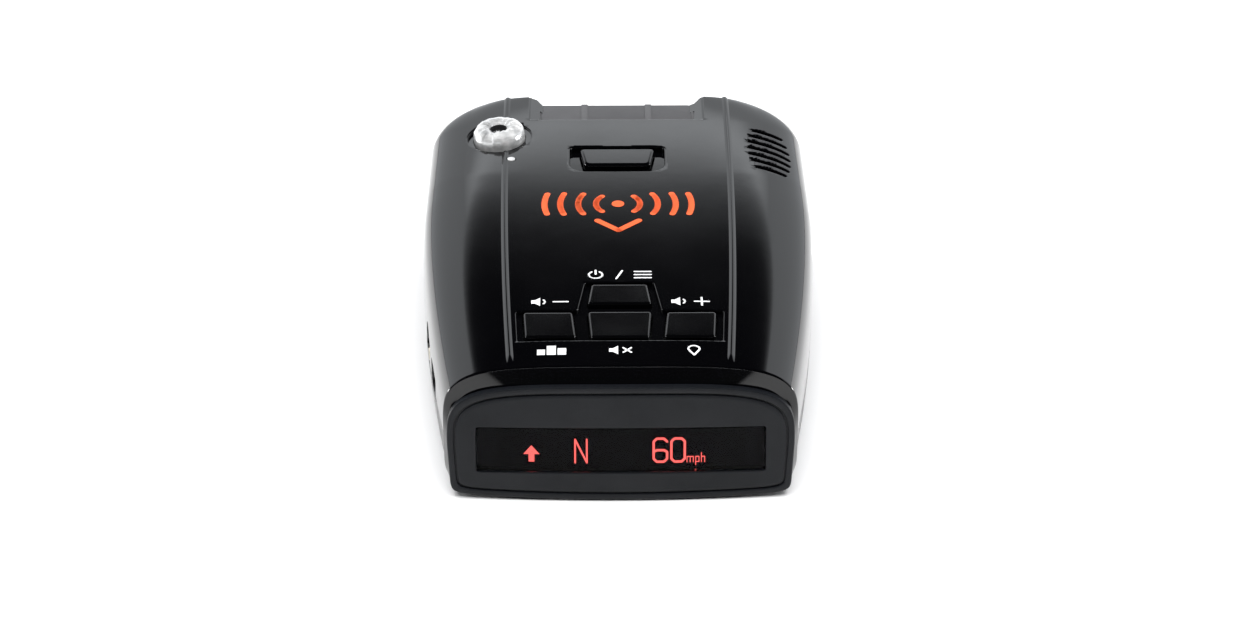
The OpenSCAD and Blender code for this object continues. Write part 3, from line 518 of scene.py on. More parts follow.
def sky_range(source, start, end, low, high):
    """Source from start to end becomes low to high."""
    node = sky.nodes.new("ShaderNodeMapRange")
    for socket, value in (("From Min", start), ("From Max", end), ("To Min", low), ("To Max", high)):
        node.inputs[socket].default_value = value
    sky.links.new(source, node.inputs["Value"])
    return node.outputs["Result"]


def sky_math(operation, first, second=None):
    """Output of a math node on one or two sockets."""
    node = sky.nodes.new("ShaderNodeMath")
    node.operation = operation
    sky.links.new(first, node.inputs[0])
    if second is not None:
        sky.links.new(second, node.inputs[1])
    return node.outputs["Value"]


SKY_TINT, SKY_STRENGTH = (0.96, 0.995, 1.03, 1), 2.4
# The bright band is narrow, and the half of the room behind the camera is dark
ceiling = sky_range(sky_math("ABSOLUTE", split.outputs["X"]), start=0.08, end=0.2, low=1.0, high=0.42)
band = sky_math("MINIMUM", shade.outputs["Color"], ceiling)
behind = sky_range(split.outputs["Y"], start=-0.35, end=0.2, low=0.03, high=1.0)
level = sky_math("MULTIPLY", band, behind)
dimmed = sky.nodes.new("ShaderNodeMix")
dimmed.data_type = "RGBA"
dimmed.inputs["A"].default_value = (0, 0, 0, 1)
dimmed.inputs["B"].default_value = SKY_TINT
sky.links.new(level, dimmed.inputs["Factor"])
sky.links.new(dimmed.outputs["Result"], background.inputs["Color"])
SKY_STOPS = [(0.0, 0.85), (0.15, 0.55), (0.35, 0.44), (0.47, 0.42), (0.515, 0.45), (0.53, 0.9), (0.537, 0.75),
             (0.549, 0.19), (0.563, 0.026), (0.576, 0.008), (0.602, 0.0015), (1.0, 0.001)]
elements = shade.color_ramp.elements
while len(elements) < len(SKY_STOPS):
    elements.new(0.5)
for element, (at, grey) in zip(elements, SKY_STOPS):
    element.position = at
    element.color = (grey, grey, grey, 1)
background.inputs["Strength"].default_value = SKY_STRENGTH


def area_light(name, size, power, at, glossy):
    data = bpy.data.lights.new(name, "AREA")
    data.shape = "RECTANGLE"
    data.size, data.size_y = size
    data.energy = power
    lamp = bpy.data.objects.new(name, data)
    bpy.context.scene.collection.objects.link(lamp)
    lamp.location = at
    lamp.rotation_euler = (LOOK_AT - lamp.location).to_track_quat("-Z", "Y").to_euler()
    lamp.visible_glossy = glossy


area_light("overhead", size=(1.8, 1.8), power=40, at=Vector((0, -0.1, 1.2)), glossy=False)
for side in (-1, 1):
    area_light("side_strip", size=(0.6, 0.14), power=7, at=Vector((side * 1.2, 0.25, 0.1)), glossy=True)
bpy.context.scene.view_settings.view_transform = "Standard"

# ---------- cutters shared by the two shells ----------


def screw_cutter(x, y):
    ring = circle(2.3, 48)[0]
    return loft("cutter", [[(x + u, y + v, z) for u, v in ring] for z in (-1, 3.6)])


def capsule(half, r, run=0.5):
    """Outline of a slot, long in u."""
    return rounded(box(-half - r, -r, half + r, r), r * 0.999, 8, run)


def funnel(grow, start, low, high):
    """Profile of a straight opening that widens by grow at its mouth."""
    return [(0, 0, start), (0, 0, low), (grow, grow, high), (grow, grow, 39)]


def side_cutters():
    """Openings of the audio socket, the power socket and the data socket."""
    square = rounded(box(-6.8, -6, 6.8, 5.9), 0.7, 5, 3)
    port = rounded(box(-4.3, -2.4, 4.3, 2.4), 0.8, 5, 3)
    return [
        solid("cutter", circle(3.6, 48), funnel(0.5, 29, 34.5, 35.2), place_side(-1, -18, 12)),
        solid("cutter", square, funnel(0.35, 30, 36.9, 37.3), place_side(1, 8, 15)),
        solid("cutter", port, funnel(0.4, 28, 33.1, 33.6), place_side(-1, -31, 11.2)),
    ]


SHELL_FRONT = SEAM_Y + 0.1
LEAD, FRONT_LIP_R = 0.6, 0.35


def smooth_stations(count):
    """Stations along Y, close together at the front lip and at the rounded rear edge."""
    middle = np.linspace(SHELL_FRONT + LEAD, CORNER_Y, count)
    bend = CORNER_Y + (FLAT_REAR_Y - CORNER_Y) * np.sin(np.linspace(0, math.pi / 2, 34))[1:]
    edge = FLAT_REAR_Y - REAR_EDGE_R + REAR_EDGE_R * np.sin(np.linspace(0, math.pi / 2, 10))[1:-1]
    lead = SHELL_FRONT + LEAD * (1 - np.cos(np.linspace(0, math.pi / 2, 7)))[:-1]
    return np.unique(np.round(np.concatenate([lead, middle, bend, edge]), 4))


def lip_inset(y):
    """Rounds the front edge of a shell."""
    r = FRONT_LIP_R
    over = np.clip(SHELL_FRONT + r - y, 0, r)
    return r - math.sqrt(max(0, r * r - over * over))


RIDGE_HALF, RIDGE_HEIGHT, RIDGE_FRONT_Y, RIDGE_LEAD = 0.65, 0.36, -46.4, 0.8
RIDGE_STEPS = np.linspace(RIDGE_HALF, -RIDGE_HALF, 13)
SIDE_STEPS, TOP_STEPS = 40, 16


def ridge_height(s, y):
    """Height of a roof ridge at s from its middle, fading out at the front."""
    fade = float(np.clip((y - RIDGE_FRONT_Y) / RIDGE_LEAD, 0, 1)) ** 0.5
    return RIDGE_HEIGHT * fade * max(0, 1 - (s / RIDGE_HALF) ** 2) ** 1.3


def roof_half(y, inset, ridged):
    """x and z from the parting line at +x to the centre line."""
    n, w, xr = float(squareness(y)), float(half_w(y, inset)), float(ridge_x(y))
    turn = math.acos(min(1, ((xr + RIDGE_HALF) / w)) ** (n / 2))
    t = np.linspace(0, turn, SIDE_STEPS)
    x = w * np.cos(t) ** (2 / n)
    z = shell_z(x, y, inset)
    xs, zs = list(x[:-1]), list(z[:-1])
    for s in RIDGE_STEPS:
        xs.append(xr + s)
        zs.append(float(shell_z(xr + s, y, inset)) + (ridge_height(s, y) if ridged else 0))
    for x in np.linspace(xr - RIDGE_HALF, 0, TOP_STEPS)[1:]:
        xs.append(x)
        zs.append(float(shell_z(x, y, inset)))
    return np.array(xs), np.array(zs)


def two_sided(x, z):
    """A chain from +x to the centre line, carried on to -x."""
    return np.concatenate([x, -x[-2::-1]]), np.concatenate([z, z[-2::-1]])


def shell_ring(y, x, upper, lower):
    """Closed ring whose upper and lower chains share their x, so that its end caps follow the bowed wall."""
    yy = bowed(y, x)
    return np.concatenate([np.column_stack([x, yy, upper]), np.column_stack([x, yy, lower])[::-1]])


def capped_shell(name, rings):
    """Solid through shell rings, its ends closed by strips between the two chains."""
    rings = np.asarray(rings)
    m, n = rings.shape[:2]
    verts, faces = loft_data(rings, caps=False)
    half = n // 2
    for base, flip in ((0, True), ((m - 1) * n, False)):
        for i in range(half - 1):
            quad = (base + i, base + i + 1, base + n - 2 - i, base + n - 1 - i)
            faces.append(quad[::-1] if flip else quad)
    return outward(make(name, verts, faces))


# ---------- top shell ----------

KEYS = on_roof(-30.2)
RELEASE = on_roof(27.4)
LENS = on_roof(36.8, -23.3, -5)
NOTCH = on_roof(43.75)

MUTE = [(-5.15, -8.7), (5.15, -8.7), (5.7, 0), (-5.7, 0)]
POWER = [(-5.75, 2.7), (5.75, 2.7), (5.1, 9.5), (-5.1, 9.5)]
RIGHT = [(7.8, -8.6), (16.8, -8.6), (17.3, -0.2), (8.45, -0.2)]
LEFT = [(-16.8, -8.6), (-7.8, -8.6), (-8.45, -0.2), (-17.3, -0.2)]
WELL = [(-18.1, -9.5), (18.1, -9.5), (18.6, 0.6), (7.5, 0.6), (6.2, 10.4), (-6.2, 10.4), (-7.5, 0.6),
        (-18.6, 0.6)]
WELL_RADII = [0.5, 0.5, 0.5, 1.0, 0.6, 0.6, 1.0, 0.5]
BUTTON = [(-6.4, -3.3), (6.4, -3.3), (7.35, 3.3), (-7.35, 3.3)]
BUTTON_WELL = box(-9.2, -5.1, 9.2, 4.7)
KEY_GAP = 0.25
CUT_LOW = (0, 0, -6)
SLOT_X, SLOT_MID_Y, SLOT_PITCH, SLOT_TURN = 29.8, 31, 2.5, math.radians(-19)


def grown(corners, by):
    middle = np.mean(corners, 0)
    return [tuple(np.array(c) + by * np.sign(np.array(c) - middle)) for c in corners]


def key_cutters():
    """The keys' well with an opening for each key, and the same for the release button."""
    rows = lip(0.22, 0.9)
    cutters = [solid("cutter", rounded(WELL, WELL_RADII, 6, 0.9), rows, KEYS, lip_follow(rows))]
    for corners in (MUTE, POWER, LEFT, RIGHT):
        hole = rounded(grown(corners, KEY_GAP), 0.6, 5, 3)
        cutters.append(solid("cutter", hole, [CUT_LOW, (0, 0, -0.5)], KEYS))
    rows = lip(0.4, 1.3)
    well = rounded(BUTTON_WELL, [3, 3, 0.9, 0.9], 8, 0.9)
    cutters.append(solid("cutter", well, rows, RELEASE, lip_follow(rows)))
    hole = rounded(grown(BUTTON, KEY_GAP), 1.2, 5, 3)
    cutters.append(solid("cutter", hole, [CUT_LOW, (0, 0, -1)], RELEASE))
    return cutters


def notch_cutters():
    """The bracket notch with its flared sides and rounded rim, and the pocket ahead of it under the roof."""
    rim_r, rim_half, flare = 0.25, 17.3, 0.923
    rows = [(14.78, -4.3, 0), (14.78, -2.63, 0), (14.9, -2.6, 0)]
    for a in quarter(5):
        depth = rim_r * (1 - math.sin(a))
        back = rim_r * (1 - math.cos(a))
        rows.append((rim_half - flare * depth + back, -depth, back))
    rows += [(17.7, 0.12, 0.4), (17.7, 3, 0.4)]
    rings = [NOTCH(rounded(box(-half, -back, half, 24), 0.3, 5, 99)[0], n, n > -2) for half, n, back in rows]
    return [loft("cutter", rings), block_in(on_roof(34), (-14, 0, -3), (14, 20, -0.9))]


def grille_cutters():
    """Seven speaker slots, shorter towards the ends of the group, cut straight down through the shoulder."""
    cutters = []
    cs, sn = math.cos(SLOT_TURN), math.sin(SLOT_TURN)
    spin = np.array([[cs, -sn], [sn, cs]])
    rows = [(0, 0, -8)] + lip(0.25, 1.0)[1:]
    for i in range(-3, 4):
        pts, nrm = capsule(4 * math.sqrt(1 - (i / 4.2) ** 2), 0.42)

        def place(uv, n, follow=False, y=SLOT_MID_Y + SLOT_PITCH * i):
            return on_plan(uv + (SLOT_X, y), n)

        cutters.append(solid("cutter", (pts @ spin.T, nrm @ spin.T), rows, place))
    return cutters


def lens_cutters():
    """Stepped recess of the laser lens, and the hole of the light pipe beside it."""
    rows = lip(0.3, 0.7)
    pipe = [CUT_LOW, (0, 0, -0.15), (0.15, 0.15, 0.05), (0.15, 0.15, 1)]
    return [
        solid("cutter", circle(6.3, 72), rows, LENS, lip_follow(rows)),
        solid("cutter", circle(5.25, 72), [CUT_LOW, (0, 0, -0.3)], LENS),
        solid("cutter", circle(6.1, 48), [CUT_LOW, (0, 0, -2.05)], LENS),
        solid("cutter", circle(0.85, 32), pipe, on_roof(27.2, -20.7)),
    ]


def back_cutters():
    """Openings of the antenna window and the front laser lens."""
    rows = [(0, 0, 48), (0, 0, 54.3), (0.3, 0.3, 54.9), (0.3, 0.3, 57)]
    return [solid("cutter", rounded(box(-half, -4.8, half, 4.8), 0.8, 5, 3), rows, place_back(x, PANES_Z))
            for x, half in ((3, 15.5), (-18, 3.9))]


def top_shell():
    """Roof and side walls down to the parting line, hollow, with every opening cut."""
    rings = []
    for y in smooth_stations(84):
        x, z = two_sided(*roof_half(y, lip_inset(y), True))
        rim = np.clip((np.abs(x) / np.abs(x).max() - 0.985) / 0.015, 0, 1)
        lift = PARTING_GAP + 0.18 * rim**2
        rings.append(shell_ring(y, x, np.maximum(z, PARTING_Z + lift), PARTING_Z + lift - 0.001))
    shell = capped_shell("roof_shell", rings)
    cavity = []
    rear_stations = 52.5 - 4.4 * (1 - np.sin(np.linspace(0.1, math.pi / 2, 12)))
    for y in np.concatenate([[CAVITY_START], np.linspace(CAVITY_FRONT, 48, 40), rear_stations]):
        thick = WALL if y < SOCKET_END else WALL + NOTCH_BACKING
        x, z = two_sided(*roof_half(max(y, CAVITY_FRONT), thick, False))
        cavity.append(shell_ring(y, x, np.maximum(z, PARTING_Z + 0.4), np.full(len(x), PARTING_Z - 2.0)))
    cutters = [capped_shell("cutter", cavity)] + key_cutters() + notch_cutters() + grille_cutters()
    return smooth(cut(shell, cutters + lens_cutters() + side_cutters() + back_cutters()))


dress(top_shell(), "gloss_black", replaces=["top_housing"])

# ---------- bottom shell ----------


def floor_chain(y, inset):
    """x and z of the floor from the parting line at +x to the centre line."""
    w = float(half_w(y, inset)) - PARTING_GAP
    low = inset + float(rear_fall(y, inset))
    edge_r, flat_from = 3, w - 3.5
    side = max(low + edge_r, PARTING_Z - 4)
    a = np.linspace(0, math.pi / 2, 14)
    rim_x = [w - 0.22, w - 0.06, w - 0.005, w - 0.1]
    rim_z = [PARTING_Z - PARTING_GAP, PARTING_Z - 0.1, PARTING_Z - 0.25, side]
    xs = np.concatenate([rim_x, flat_from + edge_r * np.cos(a), np.linspace(flat_from, 0, 12)[1:]])
    zs = np.concatenate([rim_z, low + edge_r - edge_r * np.sin(a), np.full(11, low)])
    return xs, zs


def bottom_shell():
    """Tray with the sockets' openings, screw holes, label recess and vent slots cut."""
    rings = []
    for y in smooth_stations(60):
        x, z = two_sided(*floor_chain(y, lip_inset(y)))
        rings.append(shell_ring(y, x, np.full(len(x), PARTING_Z - PARTING_GAP), z))
    shell = capped_shell("base_shell", rings)
    cavity = []
    for y in np.concatenate([[CAVITY_START], np.linspace(CAVITY_FRONT, 51, 40), [52, 52.4]]):
        x, z = two_sided(*floor_chain(max(y, CAVITY_FRONT), WALL))
        cavity.append(shell_ring(y, x, np.full(len(x), PARTING_Z + 2), np.minimum(z, PARTING_Z - 1)))
    cutters = [capped_shell("cutter", cavity)] + side_cutters()
    cutters += [screw_cutter(*at) for at in ((-27, -39.5), (27, -39.5), (-28, 46), (28, 46))]
    label = rounded(box(-20, -18, 20, 14), 1.0, 6, 6)
    cutters.append(solid("cutter", label, [(0.1, 0.1, -1), (0.1, 0.1, 0.0), (0, 0, 0.1), (0, 0, 0.35)], plan))
    for side in (-1, 1):
        for row in range(3):
            cutters.append(slot_cutter(side * 14, 30 + 4 * row, 6, 4))
        cutters.append(slot_cutter(side * 22, -30, 3, 0.5))
    return smooth(cut(shell, cutters))


def plan(uv, n, follow=False):
    """Plan positions at height n."""
    return np.column_stack([uv, np.full(len(uv), float(n))])


def slot_cutter(x, y, half, high):
    pts, nrm = capsule(half, 0.7, 4)
    rows = [(0.2, 0.2, -1), (0.2, 0.2, 0), (0, 0, 0.2), (0, 0, high)]
    return solid("cutter", (pts + (x, y), nrm), rows, plan)


dress(bottom_shell(), "base_black", replaces=["bottom_housing"])

# ---------- display end ----------


def face_point(p, depth):
    """Points (u, v) of the leaning, curved face, at a depth behind it."""
    d = depth + p[:, 0] ** 2 / (2 * FACE_CURVE)
    return np.column_stack([
        p[:, 0],
        FRONT_Y + p[:, 1] * math.sin(LEAN) + d * math.cos(LEAN),
        FACE_RISE + p[:, 1] * math.cos(LEAN) - d * math.sin(LEAN),
    ])


def powers(e):
    """Angles in a quarter turn spread so that cos to the power e is even in both directions."""
    t = np.linspace(0, 1, 70)
    both = np.concatenate([np.arccos(t ** (1 / e)), np.arcsin(t ** (1 / e))])
    return np.unique(np.round(both, 9))


RIM_COUNT, RIM_BOW = 220, 0.8


def super_outline(half, middle, up, down, e_up, e_down, count=RIM_COUNT, bow=0.0):
    """Outline whose upper and lower halves are superellipse arcs, evenly spaced along each half."""
    halves = []
    for e, reach, sign in ((e_up, up, 1), (e_down, down, -1)):
        a = powers(e)
        a = np.concatenate([a, math.pi - a[-2::-1]])
        x = half * np.sign(np.cos(a)) * np.abs(np.cos(a)) ** e
        v = middle + sign * reach * np.abs(np.sin(a)) ** e
        if sign < 0:
            x, v = x[::-1], v[::-1]
            x = x * (1 - 0.002 * (middle - v) * (bow > 0))
            v = v + bow * (x / 29) ** 2 * (middle - v) / middle
        s = np.concatenate([[0], np.cumsum(np.hypot(np.diff(x), np.diff(v)))])
        at = np.linspace(0, s[-1], count // 2, endpoint=False)
        halves.append(np.column_stack([np.interp(at, s, x), np.interp(at, s, v)]))
    return np.concatenate(halves)


def face_outline(inset, count=RIM_COUNT):
    """Outline of the display end's face."""
    up, down = FACE_H - PARTING_Z - inset, PARTING_Z - inset
    return super_outline(FACE_W / 2 - inset, PARTING_Z, up, down, 0.5, LOWER_CORNER, count, RIM_BOW)


def seam_outline(inset):
    """Outline of the shells' front end."""
    n = float(squareness(SEAM_Y))
    up, down = float(roof(SEAM_Y, inset)) - PARTING_Z, PARTING_Z - inset + 0.4
    ring = super_outline(float(half_w(SEAM_Y, inset)), PARTING_Z, up, down, 2 / n, 2 / 7)
    ring[:, 1] = np.maximum(ring[:, 1], inset)
    return ring


def at_seam(ring, y):
    return np.column_stack([ring[:, 0], np.full(len(ring), y), ring[:, 1]])


def hood():
    """Frame between the face panel and the shells, with rounded rims."""
    front, front_r, rear_r, steps = FACE_T + 0.05, 0.28, 0.3, 5
    rings = []
    for a in quarter(steps):
        outline = face_outline(front_r * (1 - math.sin(a)))
        rings.append(face_point(outline, front + front_r * (1 - math.cos(a))))
    start = face_point(face_outline(0), front + front_r)
    end = at_seam(seam_outline(0), SEAM_Y - rear_r)
    for t in np.linspace(0, 1, 14)[1:-1]:
        rings.append(start + (end - start) * t)
    for a in quarter(steps):
        outline = seam_outline(rear_r * (1 - math.cos(a)))
        rings.append(at_seam(outline, SEAM_Y - rear_r + rear_r * math.sin(a)))
    rings.append(at_seam(seam_outline(WALL), SEAM_Y))
    rings.append(face_point(face_outline(WALL), front))
    return smooth(loft("hood_frame", rings, wrap=True))


dress(hood(), "gloss_black", replaces=["bezel_frame"])

WINDOW_MID, WINDOW_HALF_W, WINDOW_HALF_H = 9.2, 25.3, 4.1


def by_angle(outline, angles):
    """Points of a star-shaped outline at given angles about the window's centre."""
    p = outline - (0, WINDOW_MID)
    a = np.arctan2(p[:, 1], p[:, 0])
    order = np.argsort(a)
    a, p = a[order], p[order]
    a = np.concatenate([a - 2 * math.pi, a, a + 2 * math.pi])
    p = np.concatenate([p, p, p])
    return np.column_stack([np.interp(angles, a, p[:, 0]), np.interp(angles, a, p[:, 1]) + WINDOW_MID])


def window_corners(grow=0.0):
    w, h = WINDOW_HALF_W + grow, WINDOW_HALF_H + grow
    return box(-w, WINDOW_MID - h, w, WINDOW_MID + h)


GROOVE = ((0.7, 0), (1.05, 0), (1.12, 0.03), (1.15, 0.1), (1.17, 0.4), (1.48, 0.4), (1.5, 0.1), (1.53, 0.03),
          (1.6, 0))
FINE = 900


def face_panel():
    """Front plate of the display end: rim, groove and window opening in one ring-shaped mesh."""
    rim_r, mouth_r, corner_r = 0.3, 0.18, 0.5
    window = rounded(window_corners(), corner_r, 6, 0.9)[0]
    outer = face_outline(0, 260)
    angles = np.concatenate([np.arctan2(p[:, 1] - WINDOW_MID, p[:, 0]) for p in (window, outer)])
    angles = np.unique(np.round(angles, 4))
    rings = [(by_angle(face_outline(0, FINE), angles), FACE_T)]
    for a in quarter(5):
        rim = by_angle(face_outline(rim_r * (1 - math.cos(a)), FINE), angles)
        rings.append((rim, rim_r * (1 - math.sin(a))))
    for inset, depth in GROOVE:
        rings.append((by_angle(face_outline(inset, FINE), angles), depth))

    def opening(grow):
        return by_angle(rounded(window_corners(grow), corner_r + grow, 12, 0.2)[0], angles)

    last = rings[-1][0]
    lip_ring = opening(mouth_r)
    for t in np.linspace(0, 1, 12)[1:-1]:
        rings.append((last + (lip_ring - last) * t, 0))
    for a in quarter(4):
        rings.append((opening(mouth_r * (1 - math.sin(a))), mouth_r * (1 - math.cos(a))))
    rings.append((opening(0.0), FACE_T))
    return smooth(loft("display_face", [face_point(p, d) for p, d in rings], wrap=True))


dress(face_panel(), "charcoal", replaces=["face_panel"])


def on_face(uv, n, follow=False):
    """Face-plane points at height n in front of the curved face."""
    return face_point(np.asarray(uv, float), -n)


def curved_pane(name, half_width, low, high, front, back):
    """Plate that follows the face's curve, with bevelled rims."""
    bevel = 0.12
    section = [(low, back), (low, front - bevel), (low + bevel, front),
               (high - bevel, front), (high, front - bevel), (high, back)]
    rings = [np.concatenate([on_face([(x, v)], n) for v, n in section])
             for x in np.linspace(-half_width, half_width, 28)]
    return smooth(loft(name, rings))


window_pane = curved_pane("window_pane", WINDOW_HALF_W - 0.1, 5.2, 13.2, -0.25, -1.45)
dress(window_pane, "smoked_window", replaces=["display_window"])

# ---------- display behind the window ----------


def flat_shape(polygons, place, low, high, name, finish, slot):
    """Thin printed shapes: each convex outline becomes a closed plate from low to high."""
    verts, faces = [], []
    for polygon in polygons:
        pts = np.asarray(polygon, float)
        area = 0.5 * np.sum(pts[:, 0] * np.roll(pts[:, 1], -1) - np.roll(pts[:, 0], -1) * pts[:, 1])
        if area < 0:
            pts = pts[::-1]
        v, f = loft_data([place(pts, low, True), place(pts, high, True)])
        faces += [tuple(i + len(verts) for i in face) for face in f]
        verts += list(v)
    dress(outward(make(name, verts, faces)), finish, slot=slot)


def stroke(a, b, width, ends=5):
    """Capsule outline of a pen stroke from a to b."""
    a, b = np.array(a, float), np.array(b, float)
    along = math.atan2(*(b - a)[::-1])
    pts = []
    for centre, start in ((b, -90), (a, 90)):
        for k in range(ends + 1):
            t = along + math.radians(start + 180 * k / ends)
            pts.append(centre + width / 2 * np.array([math.cos(t), math.sin(t)]))
    return pts


def path(points, width):
    return [stroke(a, b, width) for a, b in zip(points, points[1:])]


def arc(cx, cy, r, start, end, width, steps):
    a = np.radians(np.linspace(start, end, steps + 1))
    return path([(cx + r * math.cos(t), cy + r * math.sin(t)) for t in a], width)


def segment_digit(x, y, segments):
    """Digit of straight strokes with clipped corners, like a dot display draws it."""
    w, h, c, width = 2.35, 4.3, 0.55, 0.4
    left, right, foot, top = x + c, x + w - c, y + c, y + h - c
    middle = y + h / 2
    below, above = middle - c * 0.6, middle + c * 0.6
    rows = {
        "a": ((left, y + h), (right, y + h)), "d": ((left, y), (right, y)),
        "g": ((left, middle), (right, middle)),
        "f": ((x, above), (x, top)), "b": ((x + w, above), (x + w, top)),
        "e": ((x, foot), (x, below)), "c": ((x + w, foot), (x + w, below)),
        "p": ((x, top), (left, y + h)), "q": ((right, y + h), (x + w, top)),
        "r": ((x, foot), (left, y)), "s": ((right, y), (x + w, foot)),
        "t": ((x, below), (left, middle)), "u": ((right, middle), (x + w, below)),
        "v": ((x, below), (x, above)), "w": ((x + w, below), (x + w, above)),
    }
    return [stroke(*rows[s], width) for s in segments]


def readout():
    """Arrow, compass letter, two digits and a small unit."""
    arrow = [(-17.05, 7.65), (-16.15, 7.65), (-15.65, 7.65), (-15.15, 7.65), (-14.25, 7.65), (-15.65, 9.25)]
    shapes = [arrow, box(-16.15, 6.25, -15.15, 7.7)]
    shapes += path([(-8.0, 6.1), (-8.0, 10.4), (-5.95, 6.1), (-5.95, 10.4)], 0.3)
    shapes += segment_digit(5.75, 6.2, "pqafvtgucsdre")
    shapes += segment_digit(8.85, 6.2, "pqafvbwecsdr")
    pen = 0.14
    shapes += path([(11.6, 6.1), (11.6, 7.1)], pen) + path([(11.6, 7.1), (12.15, 7.1), (12.15, 6.1)], pen)
    shapes += path([(12.15, 7.1), (12.7, 7.1), (12.7, 6.1)], pen)
    shapes += path([(13.12, 5.55), (13.12, 7.1), (13.7, 7.1), (13.7, 6.15), (13.12, 6.15)], pen)
    shapes += path([(14.12, 7.8), (14.12, 6.1)], pen) + path([(14.12, 7.1), (14.7, 7.1), (14.7, 6.1)], pen)
    return shapes


flat_shape(readout(), on_face, -2.6, -2.5, "readout_glyphs", READOUT_GLOW, "smoked_window")
dress(curved_pane("panel_active_area", 24.6, 4.4, 14.2, -2.62, -2.72), PANEL_BLACK, slot="smoked_window")

# ---------- keys and release button ----------

KEY_ROWS = [("power_key", POWER, (0, 6.1)), ("mute_key", MUTE, (0, -4.4)),
            ("volume_down_key", LEFT, (-12.6, -4.4)), ("volume_up_key", RIGHT, (12.6, -4.4))]


def key_cap(name, corners, at):
    """Key with a flange under the roof and a stem down to its plunger."""
    rows = [(0.7, 0.7, -3.3), (0.7, 0.7, -2.5), (0, 0, -2.5)] + cap(0.42, -1.0, 0.15, 6)
    rows.append((-0.55, -0.55, 0.15))
    body = solid("cap", rounded(corners, 0.62, 6, 1.2), rows, KEYS)
    pts, nrm = circle(1.4, 32)
    stem = solid("stem", (pts + at, nrm), [(0, 0, -4.1), (0, 0, -3.25)], KEYS)
    return smooth(joined(name, [body, stem]), 38)


for node, corners, at in KEY_ROWS:
    dress(key_cap(node + "_cap", corners, at), "key_black", body=node, replaces=[node])

RELEASE_BLOCKS = (
    ((-8.2, -4.2, -3.4), (8.2, 4.4, -2.35)), ((-4.5, 3.2, -5.9), (4.5, 4.4, -3.4)),
    ((-4.5, 4.4, -5.9), (4.5, 11, -4.9)), ((-3, 8.3, -4.9), (3, 10.5, -2.2)),
)


def release_cap():
    """Button with its flange, and the arm that carries the latch tooth."""
    rows = [(0, 0, -2.4)] + cap(0.5, -1.0, 0.35, 7) + [(-0.7, -0.7, 0.35)]
    parts = [solid("cap", rounded(BUTTON, [1.3, 1.3, 0.8, 0.8], 7, 1.2), rows, RELEASE)]
    parts += [block_in(RELEASE, low, high) for low, high in RELEASE_BLOCKS]
    return smooth(joined("release_button_cap", parts), 38)


dress(release_cap(), "gloss_black", body="release", replaces=["release_button"])

COIL_LOW, COIL_HIGH, COIL_R, COIL_WIRE, COIL_TURNS = -6.94, -3.66, 1.85, 0.2, 3.5


def release_coil():
    """Spring from the latch bridge up to the button, at its rest length."""
    steps, sides = 110, 12
    a = np.linspace(0, 2 * math.pi, sides, endpoint=False)
    out = COIL_R + COIL_WIRE * np.cos(a)
    rings = []
    for i in range(steps + 1):
        turn = 2 * math.pi * COIL_TURNS * i / steps
        middle = COIL_LOW + (COIL_HIGH - COIL_LOW) * i / steps
        flat = RELEASE(np.column_stack([out * math.cos(turn), out * math.sin(turn)]), 0)
        rings.append(flat + RELEASE.turn[:, 2] * (middle + COIL_WIRE * np.sin(a))[:, None])
    return smooth(loft("release_coil", rings), 60)


coil = dress(release_coil(), SLOT_OF["release_spring"], replaces=["release_spring"])
coil_foot = COIL_LOW - COIL_WIRE
foot_point = tuple(RELEASE(np.zeros((1, 2)), coil_foot)[0] * MM)
tuple(RELEASE.turn[:, 2])
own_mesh(coil)

# ---------- laser lens ----------

LENS_PROFILE = [
    (0.02, -2.9), (5.9, -2.9), (5.9, -2.15), (5.1, -2.15), (5.1, 0.1), (5.08, 0.75), (4.92, 1.3), (4.6, 1.75),
    (4.15, 2.1), (3.6, 2.32), (3.0, 2.4), (2.45, 2.28), (1.95, 1.9), (1.5, 1.35), (1.25, 0.7), (1.0, 0.0),
    (0.6, -0.5), (0.02, -0.7),
]


def laser_lens():
    """Clear dome with a central pit and moulded facets round it."""
    count, facets, seed = 96, 14, 4
    a = np.linspace(0, 2 * math.pi, count, endpoint=False)
    dent = np.random.default_rng(seed).uniform(-0.22, 0.22, (facets, 2))
    where = a / (2 * math.pi) * facets
    low = np.floor(where).astype(int) % facets
    peak = 1 - np.abs(2 * (where - np.floor(where)) - 1)
    rings = []
    for r, n in LENS_PROFILE:
        upper = float(np.clip((n + 0.1) / 0.8, 0, 1)) * float(np.clip((r - 0.9) / 1.0, 0, 1))
        height = n + upper * (dent[low, 0] + 0.16 * peak - 0.1)
        radius = r * (1 - 0.02 * upper * peak + upper * 0.02 * dent[low, 1])
        uv = np.column_stack([radius * np.cos(a), radius * np.sin(a)])
        flat = LENS(uv, 0)
        rings.append(flat + LENS.turn[:, 2] * height[:, None])
    return smooth(loft("laser_lens", rings), 14)


def lens_pit_painted_shade():
    """Dark sleeve lining the lens's central pit: it stands for the dark sensor seen through the pit and
    paints the pit's shade.
    """
    ring = circle(1, 48)[0]
    rings = [LENS(ring * r, n) for r, n in ((1.1, 0.2), (1.5, 0.2), (1.72, 1.75), (1.5, 1.75))]
    return smooth(loft("lens_pit_painted_shade", rings, wrap=True))


dress(laser_lens(), "clear_lens", replaces=["rear_laser_lens"])
# Painted shade: a dark sleeve darkens the lens's central pit
dress(lens_pit_painted_shade(), "chip_black", slot="clear_lens")

# ---------- windows of the antenna end ----------


def back_pane(name, x, half):
    """Window of the antenna end with a rounded front edge."""
    outline = rounded(box(-half, -4.7, half, 4.7), 0.75, 6, 2)
    rows = [(0, 0, 53.2)] + cap(0.25, 53.5, 54.4) + [(-0.6, -0.6, 54.4)]
    return smooth(solid(name, outline, rows, place_back(x, PANES_Z)))


dress(back_pane("antenna_pane", 3, 15.4), "base_black", replaces=["antenna_window"])
dress(back_pane("laser_pane", -18, 3.8), "laser_red", replaces=["front_laser_lens"])

# ---------- printed marks ----------


